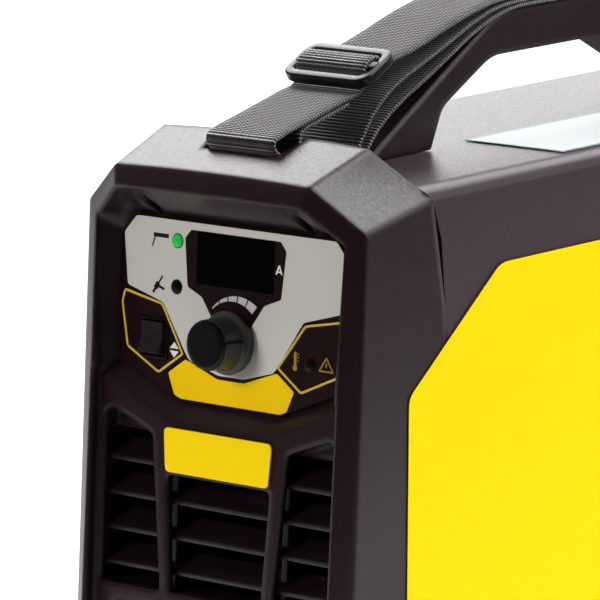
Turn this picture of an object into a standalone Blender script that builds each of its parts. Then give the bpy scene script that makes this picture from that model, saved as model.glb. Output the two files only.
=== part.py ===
# Portable stick welding inverter: front and rear bezels, folded steel cover, carry handle with a
# shoulder strap, control panel, output sockets, fan and the main inner assemblies.
# Metres, +Z up, front faces -Y, ground at z = 0.
import math

import bmesh
import bpy
from mathutils import Matrix, Vector

MM = 0.001

# overall
BODY_LENGTH = 440 * MM
BODY_WIDTH = 153 * MM
COVER_TOP = 244 * MM
FOOT_HEIGHT = 8 * MM
GAP = 0.3 * MM
WALL = 3 * MM

# bezel outline: distances from the cover top, the side and the foremost plane
CREST_RISE = 16.1 * MM
CREST_CROWN = 1.5 * MM
CREST_INSET = 19.8 * MM
CREST_DEPTH = 49 * MM
VISOR_RISE = 4.1 * MM
VISOR_INSET = 23 * MM
VISOR_DEPTH = 15.9 * MM
RIDGE_DROP = 3.9 * MM
RIDGE_INSET = 25.9 * MM
RIDGE_DEPTH = 12.2 * MM
WAIST_DROP = 14 * MM
WAIST_DEPTH = 24 * MM
RIM_BAND = 8 * MM
SCREW_INSET = 34.5 * MM
PANEL_INSET = 13.3 * MM
GRILLE_INSET = 11.5 * MM
LOUVRE_INSET = 7.5 * MM
RIM_DEPTH = 19.8 * MM
SEAM_TOP_DEPTH = 70.9 * MM
SEAM_FOOT_DEPTH = 84 * MM
SILL_CHAMFER = 10 * MM
FACE_LEAN = 0.08

# control panel, heights from the ground
PANEL_DEPTH = 25.5 * MM
PANEL_HEIGHT = 165 * MM
PANEL_THICKNESS = 2 * MM
LOWER_DEPTH = 16.6 * MM
LOWER_HEIGHT = 130 * MM
KNOB_HEIGHT = 177 * MM
KNOB_RADIUS = 10.7 * MM
KNOB_FLANGE = 13.3 * MM
KNOB_LENGTH = 16.5 * MM
SHAFT_RADIUS = 3 * MM
LED_RADIUS = 2.9 * MM
LED_STICK = (-31.8 * MM, 215.8 * MM)
LED_TIG = (-31.6 * MM, 196.6 * MM)
LED_FAULT = (43.1 * MM, 172.5 * MM)
WINDOW_WIDTH = 43 * MM
WINDOW_HEIGHT = 21.6 * MM
WINDOW_CENTRE = (0.8 * MM, 210 * MM)
ROCKER_WIDTH = 12 * MM
ROCKER_HEIGHT = 14 * MM
ROCKER_CENTRE = (-43.5 * MM, 174 * MM)
ROCKER_ANGLE = 11
BADGE_WIDTH = 60 * MM
BADGE_HEIGHT = 18.5 * MM
BADGE_CENTRE = 130.2 * MM

# grille, slats one pitch apart below the first
SLAT_TOP = 122.9 * MM
SLAT_PITCH = 14.8 * MM
SLAT_COUNT = 4
GRILLE_FOOT = 70 * MM

# output sockets
SOCKET_SPACING = 66 * MM
SOCKET_HEIGHT = 40 * MM
SOCKET_FLANGE = 17 * MM
SOCKET_NECK = 13.7 * MM
SOCKET_BORE = 6.6 * MM
POCKET_DEPTH = 28 * MM

# folded cover and chassis
SHEET = 1.2 * MM
COVER_INSET = 0.3 * MM
COVER_BEND = 9 * MM

# handle: underside and top from the cover top
HANDLE_WIDTH = 34 * MM
GRIP_CLEAR = 35.4 * MM
GRIP_THICK = 18.6 * MM
LEG_START = 92.5 * MM
LEG_FOOT = 43 * MM
LEG_SLOPE = 0.607
HANDLE_BOLT = 3 * MM

# shoulder strap
STRAP_WIDTH = 38 * MM
STRAP_THICK = 1.6 * MM
BAR_RADIUS = 2.5 * MM
BAR_DEPTH = 46 * MM
BAR_RISE = 7 * MM
NOTCH_WIDTH = 40 * MM
NOTCH_DEPTH = 33 * MM
SLIDER_WIDTH = 47 * MM
SLIDER_LENGTH = 24 * MM
SLIDER_THICK = 2.6 * MM
SLIDER_RIM = 1.7 * MM
SLIDER_ANGLE = 27
SLIDER_AT = (97 * MM, 39 * MM)

# rear panel
FAN_SIZE = 92 * MM
FAN_DEPTH = 25 * MM
FAN_HEIGHT = 96 * MM
FAN_BORE = 43 * MM
REAR_FLOOR = 26 * MM
SWITCH_CENTRE = (-30 * MM, 183 * MM)
GLAND_CENTRE = (32 * MM, 183 * MM)
GLAND_BORE = 5 * MM
FOOT_RADIUS = 10 * MM
FOOT_DEPTH = 42 * MM
BOARD_HEIGHT = 18 * MM

# inner layout
BOARD_WIDTH = 124 * MM
BOARD_LENGTH = 206 * MM
BOARD_THICK = 1.6 * MM
SINK_SPINE = 24 * MM
SINK_WALL = 6 * MM
SINK_REACH = 58 * MM
SINK_LENGTH = 98 * MM
FIN_COUNT = 6
FIN_PITCH = 11 * MM
FIN_THICK = 3 * MM
CAPACITOR_RADIUS = 13 * MM
CAPACITOR_LENGTH = 45 * MM
CAPACITOR_PITCH = 38 * MM
CAPACITOR_ROW = 83 * MM
CONTROL_BOARD_WIDTH = 112 * MM
CONTROL_BOARD_FOOT = 170 * MM
CONTROL_BOARD_TOP = 219 * MM

# bare label on the cover, beside the grip
LABEL_START = 163 * MM
LABEL_END = 145 * MM
LABEL_INNER = 12.5 * MM
LABEL_OUTER = 66 * MM

HALF = BODY_WIDTH / 2
FRONT = -BODY_LENGTH / 2


def material(name, colour, rough, metal=0.0):
    found = bpy.data.materials.get(name)
    if found:
        return found
    mat = bpy.data.materials.new(name)
    mat.use_nodes = True
    shader = mat.node_tree.nodes["Principled BSDF"]
    shader.inputs["Base Color"].default_value = (*colour, 1)
    shader.inputs["Roughness"].default_value = rough
    shader.inputs["Metallic"].default_value = metal
    mat.diffuse_color = (*colour, 1)
    return mat


PLASTIC = ("bezel_plastic", (0.012, 0.008, 0.010), 0.45)
PAINT = ("cover_paint", (0.045, 0.037, 0.043), 0.5, 0.2)
YELLOW = ("yellow_film", (0.90, 0.72, 0.01), 0.4)
BLACK = ("black_plastic", (0.006, 0.006, 0.006), 0.35)
GREY = ("panel_film", (0.42, 0.41, 0.38), 0.4)
GLASS = ("window_plastic", (0.002, 0.002, 0.002), 0.1)
GREEN = ("led_green", (0.02, 0.45, 0.08), 0.2)
DARK_LED = ("led_dark", (0.02, 0.02, 0.02), 0.2)
BRASS = ("brass", (0.55, 0.38, 0.12), 0.3, 1.0)
STEEL = ("zinc_steel", (0.45, 0.45, 0.45), 0.35, 1.0)
ALLOY = ("aluminium", (0.6, 0.6, 0.62), 0.4, 1.0)
COPPER = ("copper_wire", (0.5, 0.2, 0.06), 0.35, 1.0)
FERRITE = ("ferrite", (0.03, 0.03, 0.035), 0.6)
BOARD = ("circuit_board", (0.01, 0.11, 0.04), 0.5)
RUBBER = ("rubber", (0.01, 0.01, 0.01), 0.8)
WEBBING = ("webbing", (0.008, 0.008, 0.009), 0.85)
PAPER = ("label_film", (0.62, 0.62, 0.64), 0.5)


def make(name, mesh_builder, finish):
    mesh = bpy.data.meshes.new(name)
    bmesh.ops.recalc_face_normals(mesh_builder, faces=mesh_builder.faces)
    mesh_builder.to_mesh(mesh)
    mesh_builder.free()
    obj = bpy.data.objects.new(name, mesh)
    bpy.context.scene.collection.objects.link(obj)
    if finish:
        mesh.materials.append(material(*finish))
    return obj


def loft(name, loops, finish=None, mirrored=False):
    """Solid through loops of points. A mirrored loop runs from top centre round and back again."""
    build = bmesh.new()
    rings = [[build.verts.new(p) for p in loop] for loop in loops]
    count = len(rings[0])
    for one, two in zip(rings, rings[1:]):
        for i in range(count):
            j = (i + 1) % count
            build.faces.new((one[i], one[j], two[j], two[i]))
    for ring in (rings[0], rings[-1]):
        if mirrored:
            for i in range(count // 2):
                corners = [ring[i], ring[i + 1], ring[count - i - 1], ring[(count - i) % count]]
                build.faces.new(list(dict.fromkeys(corners)))
        else:
            build.faces.new(ring)
    return make(name, build, finish)


def rounded(points, radius, steps=4):
    """Closed outline with each corner turned into an arc."""
    out = []
    count = len(points)
    for i in range(count):
        here = Vector(points[i])
        back = (Vector(points[i - 1]) - here)
        ahead = (Vector(points[(i + 1) % count]) - here)
        size = radius[i] if isinstance(radius, (list, tuple)) else radius
        if size <= 0:
            out.append(tuple(here))
            continue
        angle = back.angle(ahead)
        reach = size / math.tan(angle / 2)
        start = here + back.normalized() * reach
        end = here + ahead.normalized() * reach
        for k in range(steps + 1):
            t = k / steps
            out.append(tuple(start * (1 - t) ** 2 + here * (2 * t * (1 - t)) + end * t ** 2))
    return out


def prism_x(name, outline, start, end, finish=None):
    return loft(name, [[(x, a, b) for a, b in outline] for x in (start, end)], finish)


def prism_y(name, outline, start, end, finish=None):
    return loft(name, [[(a, y, b) for a, b in outline] for y in (start, end)], finish)


def prism_z(name, outline, start, end, finish=None):
    return loft(name, [[(a, b, z) for a, b in outline] for z in (start, end)], finish)


def box(name, low, high, finish=None):
    outline = [(low[0], low[1]), (high[0], low[1]), (high[0], high[1]), (low[0], high[1])]
    return prism_z(name, outline, low[2], high[2], finish)


def leaned(name, outline, depth, height, start, end, finish=None):
    """Slab behind the leaning front face that passes the given depth at the given height."""
    loops = []
    for offset in (start, end):
        loops.append([(x, FRONT + depth + (z - height) * FACE_LEAN + offset, z) for x, z in outline])
    return loft(name, loops, finish)


def ring_points(radius, centre=(0, 0), steps=32):
    turns = [2 * math.pi * k / steps for k in range(steps)]
    return [(centre[0] + radius * math.cos(a), centre[1] + radius * math.sin(a)) for a in turns]


def lathe(name, profile, place, finish=None, steps=32):
    """Solid turned about local Z from (radius, height) pairs, then placed by the matrix."""
    build = bmesh.new()
    rings = []
    for radius, height in profile:
        if radius == 0:
            rings.append([build.verts.new(place @ Vector((0, 0, height)))] * steps)
            continue
        rings.append([build.verts.new(place @ Vector((a, b, height)))
                      for a, b in ring_points(radius, steps=steps)])
    if profile[0] == profile[-1]:
        rings[-1] = rings[0]
    for one, two in zip(rings, rings[1:]):
        for i in range(steps):
            j = (i + 1) % steps
            corners = list(dict.fromkeys((one[i], one[j], two[j], two[i])))
            if len(corners) > 2:
                build.faces.new(corners)
    bmesh.ops.delete(build, geom=[v for v in build.verts if not v.link_faces], context="VERTS")
    return make(name, build, finish)


def cutter(obj):
    obj.hide_render = True
    obj.display_type = "WIRE"
    return obj


def combine(target, tools, operation="DIFFERENCE"):
    for tool in tools:
        cutter(tool)
        change = target.modifiers.new(tool.name, "BOOLEAN")
        change.operation = operation
        change.solver = "EXACT"
        change.object = tool
    return target


def along_y(y, x=0, z=0, backwards=False):
    """Matrix that lays local Z along +Y, or along -Y when backwards."""
    turn = Matrix.Rotation(math.radians(90 if backwards else -90), 4, "X")
    return Matrix.Translation((x, y, z)) @ turn


def facing_panel(x, z, depth=PANEL_DEPTH, height=PANEL_HEIGHT):
    """Matrix with local Z pointing out of the leaning face at the given spot."""
    y = FRONT + depth + (z - height) * FACE_LEAN
    return Matrix.Translation((x, y, z)) @ Matrix.Rotation(math.radians(90) - math.atan(FACE_LEAN), 4, "X")


def interpolate(table, z):
    for (z1, d1), (z2, d2) in zip(table, table[1:]):
        if z >= z2:
            return d1 + (d2 - d1) * (z1 - z) / (z1 - z2)
    return table[-1][1]


def station(shoulder, waist, sill, chamfer, crown, table, side, radius=3 * MM):
    """Bezel loop from the top centre down the right side, across and back up."""
    right = []
    for k in range(6):
        x = shoulder[0] * k / 6
        right.append((x, shoulder[1] + crown * (1 - (x / shoulder[0]) ** 2)))
    corners = [(shoulder[0] - 9 * MM, shoulder[1]), shoulder, waist, (waist[0], sill + chamfer),
               (waist[0] - chamfer, sill), (0, sill)]
    bends = rounded(corners, [0, radius, radius, radius, radius, 0], 3)[1:-1]
    for one, two in zip(bends, bends[1:] + [(0, sill)]):
        right.append(one)
        span = one[1] - two[1]
        if span > 40 * MM:
            right += [(one[0], one[1] - span * k / 5) for k in range(1, 5)]
    left = [(-x, z) for x, z in reversed(right[1:])]
    return [(x, side * (FRONT + interpolate(table, z)), z) for x, z in right + left]


WAIST = COVER_TOP - WAIST_DROP
RIDGE_SILL = FOOT_HEIGHT + 8 * MM
RIDGE_WAIST = WAIST - 4.9 * MM
SEAM_TABLE = [(COVER_TOP + CREST_RISE + CREST_CROWN, CREST_DEPTH), (COVER_TOP + CREST_RISE, CREST_DEPTH),
              (COVER_TOP - 5.7 * MM, SEAM_TOP_DEPTH - 5.1 * MM), (COVER_TOP - 22.7 * MM, SEAM_TOP_DEPTH),
              (FOOT_HEIGHT, SEAM_FOOT_DEPTH)]
EDGE_TABLE = [(COVER_TOP + VISOR_RISE + CREST_CROWN, VISOR_DEPTH), (COVER_TOP + VISOR_RISE, VISOR_DEPTH),
              (WAIST, WAIST_DEPTH), (FOOT_HEIGHT, WAIST_DEPTH - (WAIST - FOOT_HEIGHT) * 0.0816)]
RIDGE_TABLE = [(COVER_TOP - RIDGE_DROP + CREST_CROWN, RIDGE_DEPTH), (COVER_TOP - RIDGE_DROP, RIDGE_DEPTH),
               (RIDGE_WAIST, RIM_DEPTH), (RIDGE_SILL, 0)]


def bezel_shell(name, side):
    ridge = station((HALF - RIDGE_INSET, COVER_TOP - RIDGE_DROP), (HALF - RIM_BAND, RIDGE_WAIST),
                    RIDGE_SILL, SILL_CHAMFER * 0.8, 1 * MM, RIDGE_TABLE, side)
    edge = station((HALF - VISOR_INSET, COVER_TOP + VISOR_RISE), (HALF, WAIST),
                   FOOT_HEIGHT, SILL_CHAMFER, 1 * MM, EDGE_TABLE, side)
    crest = station((HALF - CREST_INSET, COVER_TOP + CREST_RISE), (HALF, COVER_TOP - 5.7 * MM),
                    FOOT_HEIGHT, SILL_CHAMFER, CREST_CROWN, SEAM_TABLE, side)
    return loft(name, [ridge, edge, crest], PLASTIC, mirrored=True)


def hood_tools(name, side):
    """Cutters both bezels share: hood pockets, strap notch, strap bar hole and foot stud holes."""
    tools = []
    for hand in (-1, 1):
        pocket = [(side * (FRONT + d), COVER_TOP + z) for d, z in
                  ((30 * MM, -5 * MM), (30 * MM, 5 * MM), (47 * MM, 12 * MM), (58 * MM, -5 * MM))]
        low = NOTCH_WIDTH / 2 + 7 * MM
        tools.append(prism_x(f"{name}_hood_{hand}", pocket, hand * low, hand * (HALF - 28 * MM)))
        tools.append(lathe(f"{name}_stud_{hand}", [(0, 0), (2.8 * MM, 0), (2.8 * MM, 12 * MM),
                                                   (0, 12 * MM)],
                           Matrix.Translation((hand * FOOT_SPREAD, side * (FRONT + FOOT_DEPTH), 4 * MM))))
    flare = NOTCH_WIDTH / 2 + 4.5 * MM
    notch = [(-NOTCH_WIDTH / 2, NOTCH_DEPTH), (NOTCH_WIDTH / 2, NOTCH_DEPTH), (flare, CREST_DEPTH),
             (flare, 90 * MM), (-flare, 90 * MM), (-flare, CREST_DEPTH)]
    notch = [(x, side * (FRONT + d)) for x, d in notch]
    tools.append(prism_z(f"{name}_notch", notch, COVER_TOP + GAP, COVER_TOP + 30 * MM))
    hole = ring_points(BAR_RADIUS + GAP, (side * (FRONT + BAR_DEPTH), COVER_TOP + BAR_RISE), 18)
    reach = NOTCH_WIDTH / 2 + 10 * MM
    tools.append(prism_x(f"{name}_bar", hole, -reach, reach))
    return tools


FOOT_SPREAD = HALF - 21 * MM
PANEL_TOP = COVER_TOP - 18.5 * MM
for old in list(bpy.data.objects):
    bpy.data.objects.remove(old, do_unlink=True)


def face_depth(z):
    return LOWER_DEPTH + (z - LOWER_HEIGHT) * FACE_LEAN


def panel_outline(shrink):
    """Panel recess outline, mirrored about the centre."""
    side = HALF - PANEL_INSET
    right = [(side - 7.3 * MM, PANEL_TOP), (side - 0.5 * MM, PANEL_TOP - 8.5 * MM), (side, 163.2 * MM),
             (27.6 * MM, 148.9 * MM)]
    right = [(x - shrink, z - shrink if z > 190 * MM else z + shrink) for x, z in right]
    return right + [(-x, z) for x, z in reversed(right)]


def front_bezel():
    shell = bezel_shell("front_bezel", 1)
    tools = hood_tools("front", 1)
    # panel recess, from the ridge to the seat of the panel
    lip = [(HALF - RIDGE_INSET, COVER_TOP - RIDGE_DROP, RIDGE_DEPTH),
           (HALF - RIM_BAND, RIDGE_WAIST, RIM_DEPTH),
           (HALF - PANEL_INSET + 3.3 * MM, 157.5 * MM, face_depth(157.5 * MM)),
           (27.5 * MM, 141.9 * MM, face_depth(141.9 * MM))]
    lip += [(-x, z, d) for x, z, d in reversed(lip)]
    seat = PANEL_DEPTH + PANEL_THICKNESS + GAP
    floor = [(x, FRONT + seat + (z - PANEL_HEIGHT) * FACE_LEAN, z) for x, z in panel_outline(0)]
    ahead = [(x, FRONT - 5 * MM, z) for x, z, d in lip]
    tools.append(loft("panel_recess", [ahead, [(x, FRONT + d, z) for x, z, d in lip], floor]))
    tools.append(leaned("panel_window", panel_outline(3 * MM), PANEL_DEPTH, PANEL_HEIGHT, 0, 12 * MM))
    # lower face, socket pocket and grille openings
    side = HALF - RIM_BAND - 1 * MM
    low = RIDGE_SILL + 0.5 * MM
    lower = [(side, 161 * MM), (side, low + 7 * MM), (side - 7 * MM, low)]
    lower += [(-x, z) for x, z in reversed(lower)]
    tools.append(leaned("lower_recess", lower, LOWER_DEPTH, LOWER_HEIGHT, -30 * MM, 0))
    pocket = rounded([(58 * MM, 63 * MM), (58 * MM, 18.5 * MM), (-58 * MM, 18.5 * MM), (-58 * MM, 63 * MM)],
                     6 * MM)
    tools.append(prism_y("socket_pocket", pocket, FRONT, FRONT + POCKET_DEPTH))
    for hand in (-1, 1):
        edge = HALF - GRILLE_INSET
        opening = [(edge, 142 * MM), (edge - 4.6 * MM, 144 * MM), (edge - 15.6 * MM, 140.3 * MM),
                   (37.2 * MM, 135.6 * MM), (30.6 * MM, GRILLE_FOOT), (edge, GRILLE_FOOT)]
        opening = rounded([(hand * x, z) for x, z in opening],
                          [2 * MM, 2 * MM, 4 * MM, 3 * MM, 2 * MM, 2 * MM])
        tools.append(leaned(f"grille_{hand}", opening, LOWER_DEPTH, LOWER_HEIGHT, -2 * MM, 9 * MM))
        hole = ring_points(SOCKET_NECK + GAP, (hand * SOCKET_SPACING / 2, SOCKET_HEIGHT))
        tools.append(prism_y(f"socket_hole_{hand}", hole, FRONT + 20 * MM, FRONT + 45 * MM))
        tools.append(lathe(f"screw_way_{hand}", [(0, -30 * MM), (3.4 * MM, -30 * MM), (3.4 * MM, 15 * MM),
                                                 (1.8 * MM, 15 * MM), (1.8 * MM, 30 * MM), (0, 30 * MM)],
                           screw_place(hand), steps=20))
    middle = [(29 * MM, 119.6 * MM), (25.6 * MM, GRILLE_FOOT), (-25.6 * MM, GRILLE_FOOT),
              (-29 * MM, 119.6 * MM)]
    tools.append(leaned("grille_0", rounded(middle, [3 * MM, 2 * MM, 2 * MM, 3 * MM]), LOWER_DEPTH,
                        LOWER_HEIGHT,
                        -2 * MM, 9 * MM))
    # hollow behind
    inner = HALF - WALL
    tools.append(leaned("hollow_lower", [(inner, 134 * MM), (inner, 66 * MM), (-inner, 66 * MM),
                                         (-inner, 134 * MM)],
                        LOWER_DEPTH, LOWER_HEIGHT, WALL, 90 * MM))
    base = FOOT_HEIGHT + WALL
    sill = [(inner, 67 * MM), (inner, base + 9 * MM), (inner - 9 * MM, base)]
    sill += [(-x, z) for x, z in reversed(sill)]
    tools.append(prism_y("hollow_sill", sill, FRONT + POCKET_DEPTH + WALL, FRONT + 110 * MM))
    upper = [(inner, 132 * MM), (inner, WAIST - 4 * MM), (inner - 22 * MM, COVER_TOP - WALL)]
    upper += [(-x, z) for x, z in reversed(upper)]
    tools.append(leaned("hollow_upper", upper, PANEL_DEPTH, PANEL_HEIGHT, PANEL_THICKNESS + 2.8 * MM,
                        90 * MM))
    return combine(shell, tools)


def screw_place(hand):
    """Front screw way: runs back and down through the sloped wall under the visor."""
    spot = Matrix.Translation((hand * (HALF - SCREW_INSET), FRONT + 21 * MM, COVER_TOP - 11 * MM))
    return spot @ Matrix.Rotation(math.radians(-90 - 17), 4, "X")


def front_screw(name, hand):
    head = 15 * MM - GAP
    profile = [(0, head - 3 * MM), (2.9 * MM, head - 3 * MM), (2.9 * MM, head), (1.5 * MM, head),
               (1.5 * MM, 32 * MM), (0, 32 * MM)]
    return lathe(name, profile, screw_place(hand), STEEL, 20)


def louvre_insert():
    """Frame behind the lower face with slats that slope down to the front."""
    start = WALL + GAP
    wide = HALF - LOUVRE_INSET
    outline = [(-wide, GRILLE_FOOT - 3 * MM), (wide, GRILLE_FOOT - 3 * MM), (wide, 133 * MM),
               (-wide, 133 * MM)]
    frame = leaned("louvre_insert", outline, LOWER_DEPTH, LOWER_HEIGHT, start, start + 14 * MM, BLACK)
    hole = [(-wide + 3 * MM, GRILLE_FOOT), (wide - 3 * MM, GRILLE_FOOT), (wide - 3 * MM, 144 * MM),
            (-wide + 3 * MM, 144 * MM)]
    combine(frame, [leaned("louvre_hole", hole, LOWER_DEPTH, LOWER_HEIGHT, 0, 40 * MM)])
    parts = []
    for k in range(SLAT_COUNT):
        z = SLAT_TOP - k * SLAT_PITCH
        y = FRONT + face_depth(z) + start
        rise = 6 * MM
        outline = [(y + 0.6 * MM, z), (y + 0.6 * MM, z - 2 * MM), (y + 12 * MM, z + rise - 2 * MM),
                   (y + 12 * MM, z + rise)]
        parts.append(prism_x(f"slat_{k}", outline, -wide + 1 * MM, wide - 1 * MM))
    for x in (-31 * MM, 31 * MM):
        post = [(x - 1.5 * MM, GRILLE_FOOT - 1 * MM), (x + 1.5 * MM, GRILLE_FOOT - 1 * MM),
                (x + 1.5 * MM, 131 * MM), (x - 1.5 * MM, 131 * MM)]
        parts.append(leaned(f"slat_post_{x:.3f}", post, LOWER_DEPTH, LOWER_HEIGHT, start + 5 * MM,
                            start + 13.5 * MM))
    return combine(frame, parts, "UNION")


def control_panel():
    plate = leaned("control_panel", panel_outline(0.6 * MM), PANEL_DEPTH, PANEL_HEIGHT, 0, PANEL_THICKNESS,
                   GREY)
    tools = []
    for k, spot in enumerate((LED_STICK, LED_TIG, LED_FAULT)):
        tools.append(leaned(f"led_hole_{k}", ring_points(LED_RADIUS + GAP, spot, 20), PANEL_DEPTH,
                            PANEL_HEIGHT,
                            -5 * MM, 8 * MM))
    tools.append(leaned("shaft_hole", ring_points(SHAFT_RADIUS + 4.3 * MM, (0, KNOB_HEIGHT), 24),
                        PANEL_DEPTH,
                        PANEL_HEIGHT, -5 * MM, 8 * MM))
    wide = ROCKER_WIDTH / 2 + 2 * MM
    tall = ROCKER_HEIGHT / 2 + 2 * MM
    tools.append(leaned("switch_hole", rectangle(ROCKER_CENTRE, wide, tall), PANEL_DEPTH, PANEL_HEIGHT,
                        -5 * MM, 8 * MM))
    tools.append(leaned("window_hole", rectangle(WINDOW_CENTRE, WINDOW_WIDTH / 2, WINDOW_HEIGHT / 2),
                        PANEL_DEPTH,
                        PANEL_HEIGHT, -5 * MM, 8 * MM))
    return combine(plate, tools)


def rectangle(centre, wide, tall):
    x, z = centre
    return [(x - wide, z - tall), (x + wide, z - tall), (x + wide, z + tall), (x - wide, z + tall)]


def led(name, spot, finish):
    r = LED_RADIUS
    profile = [(0, -9 * MM), (r, -9 * MM), (r, 0), (r * 0.9, 0.7 * MM), (r * 0.6, 1.2 * MM), (0, 1.4 * MM)]
    return lathe(name, profile, facing_panel(*spot), finish, 20)


def rocker_switch(body_name, rocker_name, place, wide, tall, lip, depth, flange):
    """Panel rocker: an open frame with a rocker on a pin line, its upper half pressed in."""
    w, h = wide / 2 + 0.5 * MM, tall / 2 + 0.5 * MM
    frame = box(body_name, (-w - 1.2 * MM, -h - 1.2 * MM, -depth), (w + 1.2 * MM, h + 1.2 * MM, lip), BLACK)
    well = box(f"{body_name}_well", (-w, -h, -depth + 1.5 * MM), (w, h, lip + 5 * MM))
    placed = [frame, well]
    if flange:
        edge = 1.2 * MM + flange
        rim = box(f"{body_name}_rim", (-w - edge, -h - edge, GAP), (w + edge, h + edge, lip))
        placed.append(rim)
        combine(frame, [rim], "UNION")
    combine(frame, [well])
    for piece in placed:
        piece.data.transform(place)
    bend = math.tan(math.radians(ROCKER_ANGLE))
    reach = tall / 2
    tip = (reach * 0.94, 2 * MM + reach * bend)
    profile = [(-tip[0], tip[1]), (0, 2 * MM), tip,
               (reach * 0.97, -1 * MM), (reach * 0.3, -4 * MM), (-reach * 0.3, -4 * MM),
               (-reach * 0.97, -1 * MM)]
    rocker = prism_x(rocker_name, profile, -wide / 2, wide / 2, BLACK)
    rocker.data.transform(Matrix.Rotation(math.radians(-ROCKER_ANGLE), 4, "X"))
    rocker.matrix_world = place
    return frame, rocker


def knob_set():
    place = facing_panel(0, KNOB_HEIGHT)
    bore = SHAFT_RADIUS + GAP
    r, f, top = KNOB_RADIUS, KNOB_FLANGE, KNOB_LENGTH
    profile = [(bore, 0.5 * MM), (f, 0.5 * MM), (f, 1.6 * MM), (f - 0.8 * MM, 2.4 * MM), (r, 3 * MM),
               (r - 0.2 * MM, top - 0.8 * MM), (r - 1 * MM, top), (0, top), (0, top - 3 * MM),
               (bore, top - 3 * MM),
               (bore, 0.5 * MM)]
    knob = lathe("current_knob", profile, Matrix(), BLACK, 48)
    knob.matrix_world = place
    shaft = lathe("knob_shaft", [(0, -2.5 * MM), (SHAFT_RADIUS, -2.5 * MM), (SHAFT_RADIUS, top - 3.3 * MM),
                                 (0, top - 3.3 * MM)], Matrix(), STEEL, 24)
    shaft.matrix_world = place
    bush = SHAFT_RADIUS + 4 * MM
    pot = [(bore, 0.2 * MM), (bush, 0.2 * MM), (bush, -2.6 * MM), (8 * MM, -2.6 * MM), (8 * MM, -11.4 * MM),
           (0, -11.4 * MM), (0, -2.8 * MM), (bore, -2.8 * MM), (bore, 0.2 * MM)]
    lathe("current_pot", pot, place, ALLOY, 24)


def socket(sign, hand):
    x = hand * SOCKET_SPACING / 2
    place = along_y(FRONT, x, SOCKET_HEIGHT)
    bore = SOCKET_BORE + 2.4 * MM
    body = [(bore, 13 * MM), (SOCKET_FLANGE - 2 * MM, 13 * MM), (SOCKET_FLANGE, 15 * MM),
            (SOCKET_FLANGE, POCKET_DEPTH - GAP), (SOCKET_NECK, POCKET_DEPTH - GAP), (SOCKET_NECK, 44 * MM),
            (bore, 44 * MM), (bore, 13 * MM)]
    lathe(f"socket_{sign}_body", body, place, BLACK, 36)
    outer = bore - GAP
    insert = [(SOCKET_BORE, 14.5 * MM), (outer, 14.5 * MM), (outer, 52 * MM), (0, 52 * MM), (0, 47 * MM),
              (SOCKET_BORE, 47 * MM), (SOCKET_BORE, 14.5 * MM)]
    lathe(f"socket_{sign}_insert", insert, place, BRASS, 36)


def top_cover():
    out = HALF - COVER_INSET
    low = FOOT_HEIGHT + 4 * MM
    outer = rounded([(out, low), (out, COVER_TOP), (-out, COVER_TOP), (-out, low)],
                    [0, COVER_BEND, COVER_BEND, 0], 6)
    into = out - SHEET
    bend = COVER_BEND - SHEET
    inner = rounded([(-into, low), (-into, COVER_TOP - SHEET), (into, COVER_TOP - SHEET), (into, low)],
                    [0, bend, bend, 0], 6)
    end = -FRONT - 50 * MM
    cover = prism_y("top_cover", outer + inner, -end, end, PAINT)
    tools = []
    for side in (1, -1):
        seam = [(side * (FRONT + d + 0.4 * MM), z) for z, d in SEAM_TABLE[1:]]
        line = [(side * (FRONT - 9 * MM), COVER_TOP + CREST_RISE)] + seam
        line += [(seam[-1][0], -5 * MM), (side * (FRONT - 9 * MM), -5 * MM)]
        tools.append(prism_x(f"seam_{side}", line, -HALF - 9 * MM, HALF + 9 * MM))
        hole = ring_points(HANDLE_BOLT + GAP, (0, side * bolt_y()), 20)
        tools.append(prism_z(f"cover_hole_{side}", hole, COVER_TOP - 5 * MM, COVER_TOP + 5 * MM))
    return combine(cover, tools)


def bolt_y():
    return FRONT + LEG_START + LEG_FOOT * 0.62


def chassis_tray():
    out = HALF - COVER_INSET - SHEET - GAP
    low = FOOT_HEIGHT + 0.6 * MM
    high = low + 24 * MM
    t = 1.4 * MM
    outline = [(-out, high), (-out, low), (out, low), (out, high), (out - t, high), (out - t, low + t),
               (-out + t, low + t), (-out + t, high)]
    end = -FRONT - SEAM_FOOT_DEPTH - 0.4 * MM
    tray = prism_y("chassis_tray", outline, -end, end, STEEL)
    posts = []
    for x in (-55 * MM, 55 * MM):
        for y in (-95 * MM, 95 * MM):
            posts.append(prism_z(f"post_{x:.3f}_{y:.3f}", ring_points(3.5 * MM, (x, y), 16), low + 0.5 * MM,
                                 BOARD_HEIGHT))
    return combine(tray, posts, "UNION")


def side_film(name, hand):
    outline = [(FRONT + 48.3 * MM, 159 * MM), (FRONT + 108 * MM, 206.4 * MM),
               (-FRONT - 62 * MM, 206.4 * MM),
               (-FRONT - 62 * MM, 24 * MM), (FRONT + 43 * MM, 24 * MM)]
    outline = rounded(outline, [8 * MM, 14 * MM, 10 * MM, 6 * MM, 6 * MM], 5)
    start = hand * (HALF + GAP)
    return prism_x(name, outline, start, start + hand * GAP, YELLOW)


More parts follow.
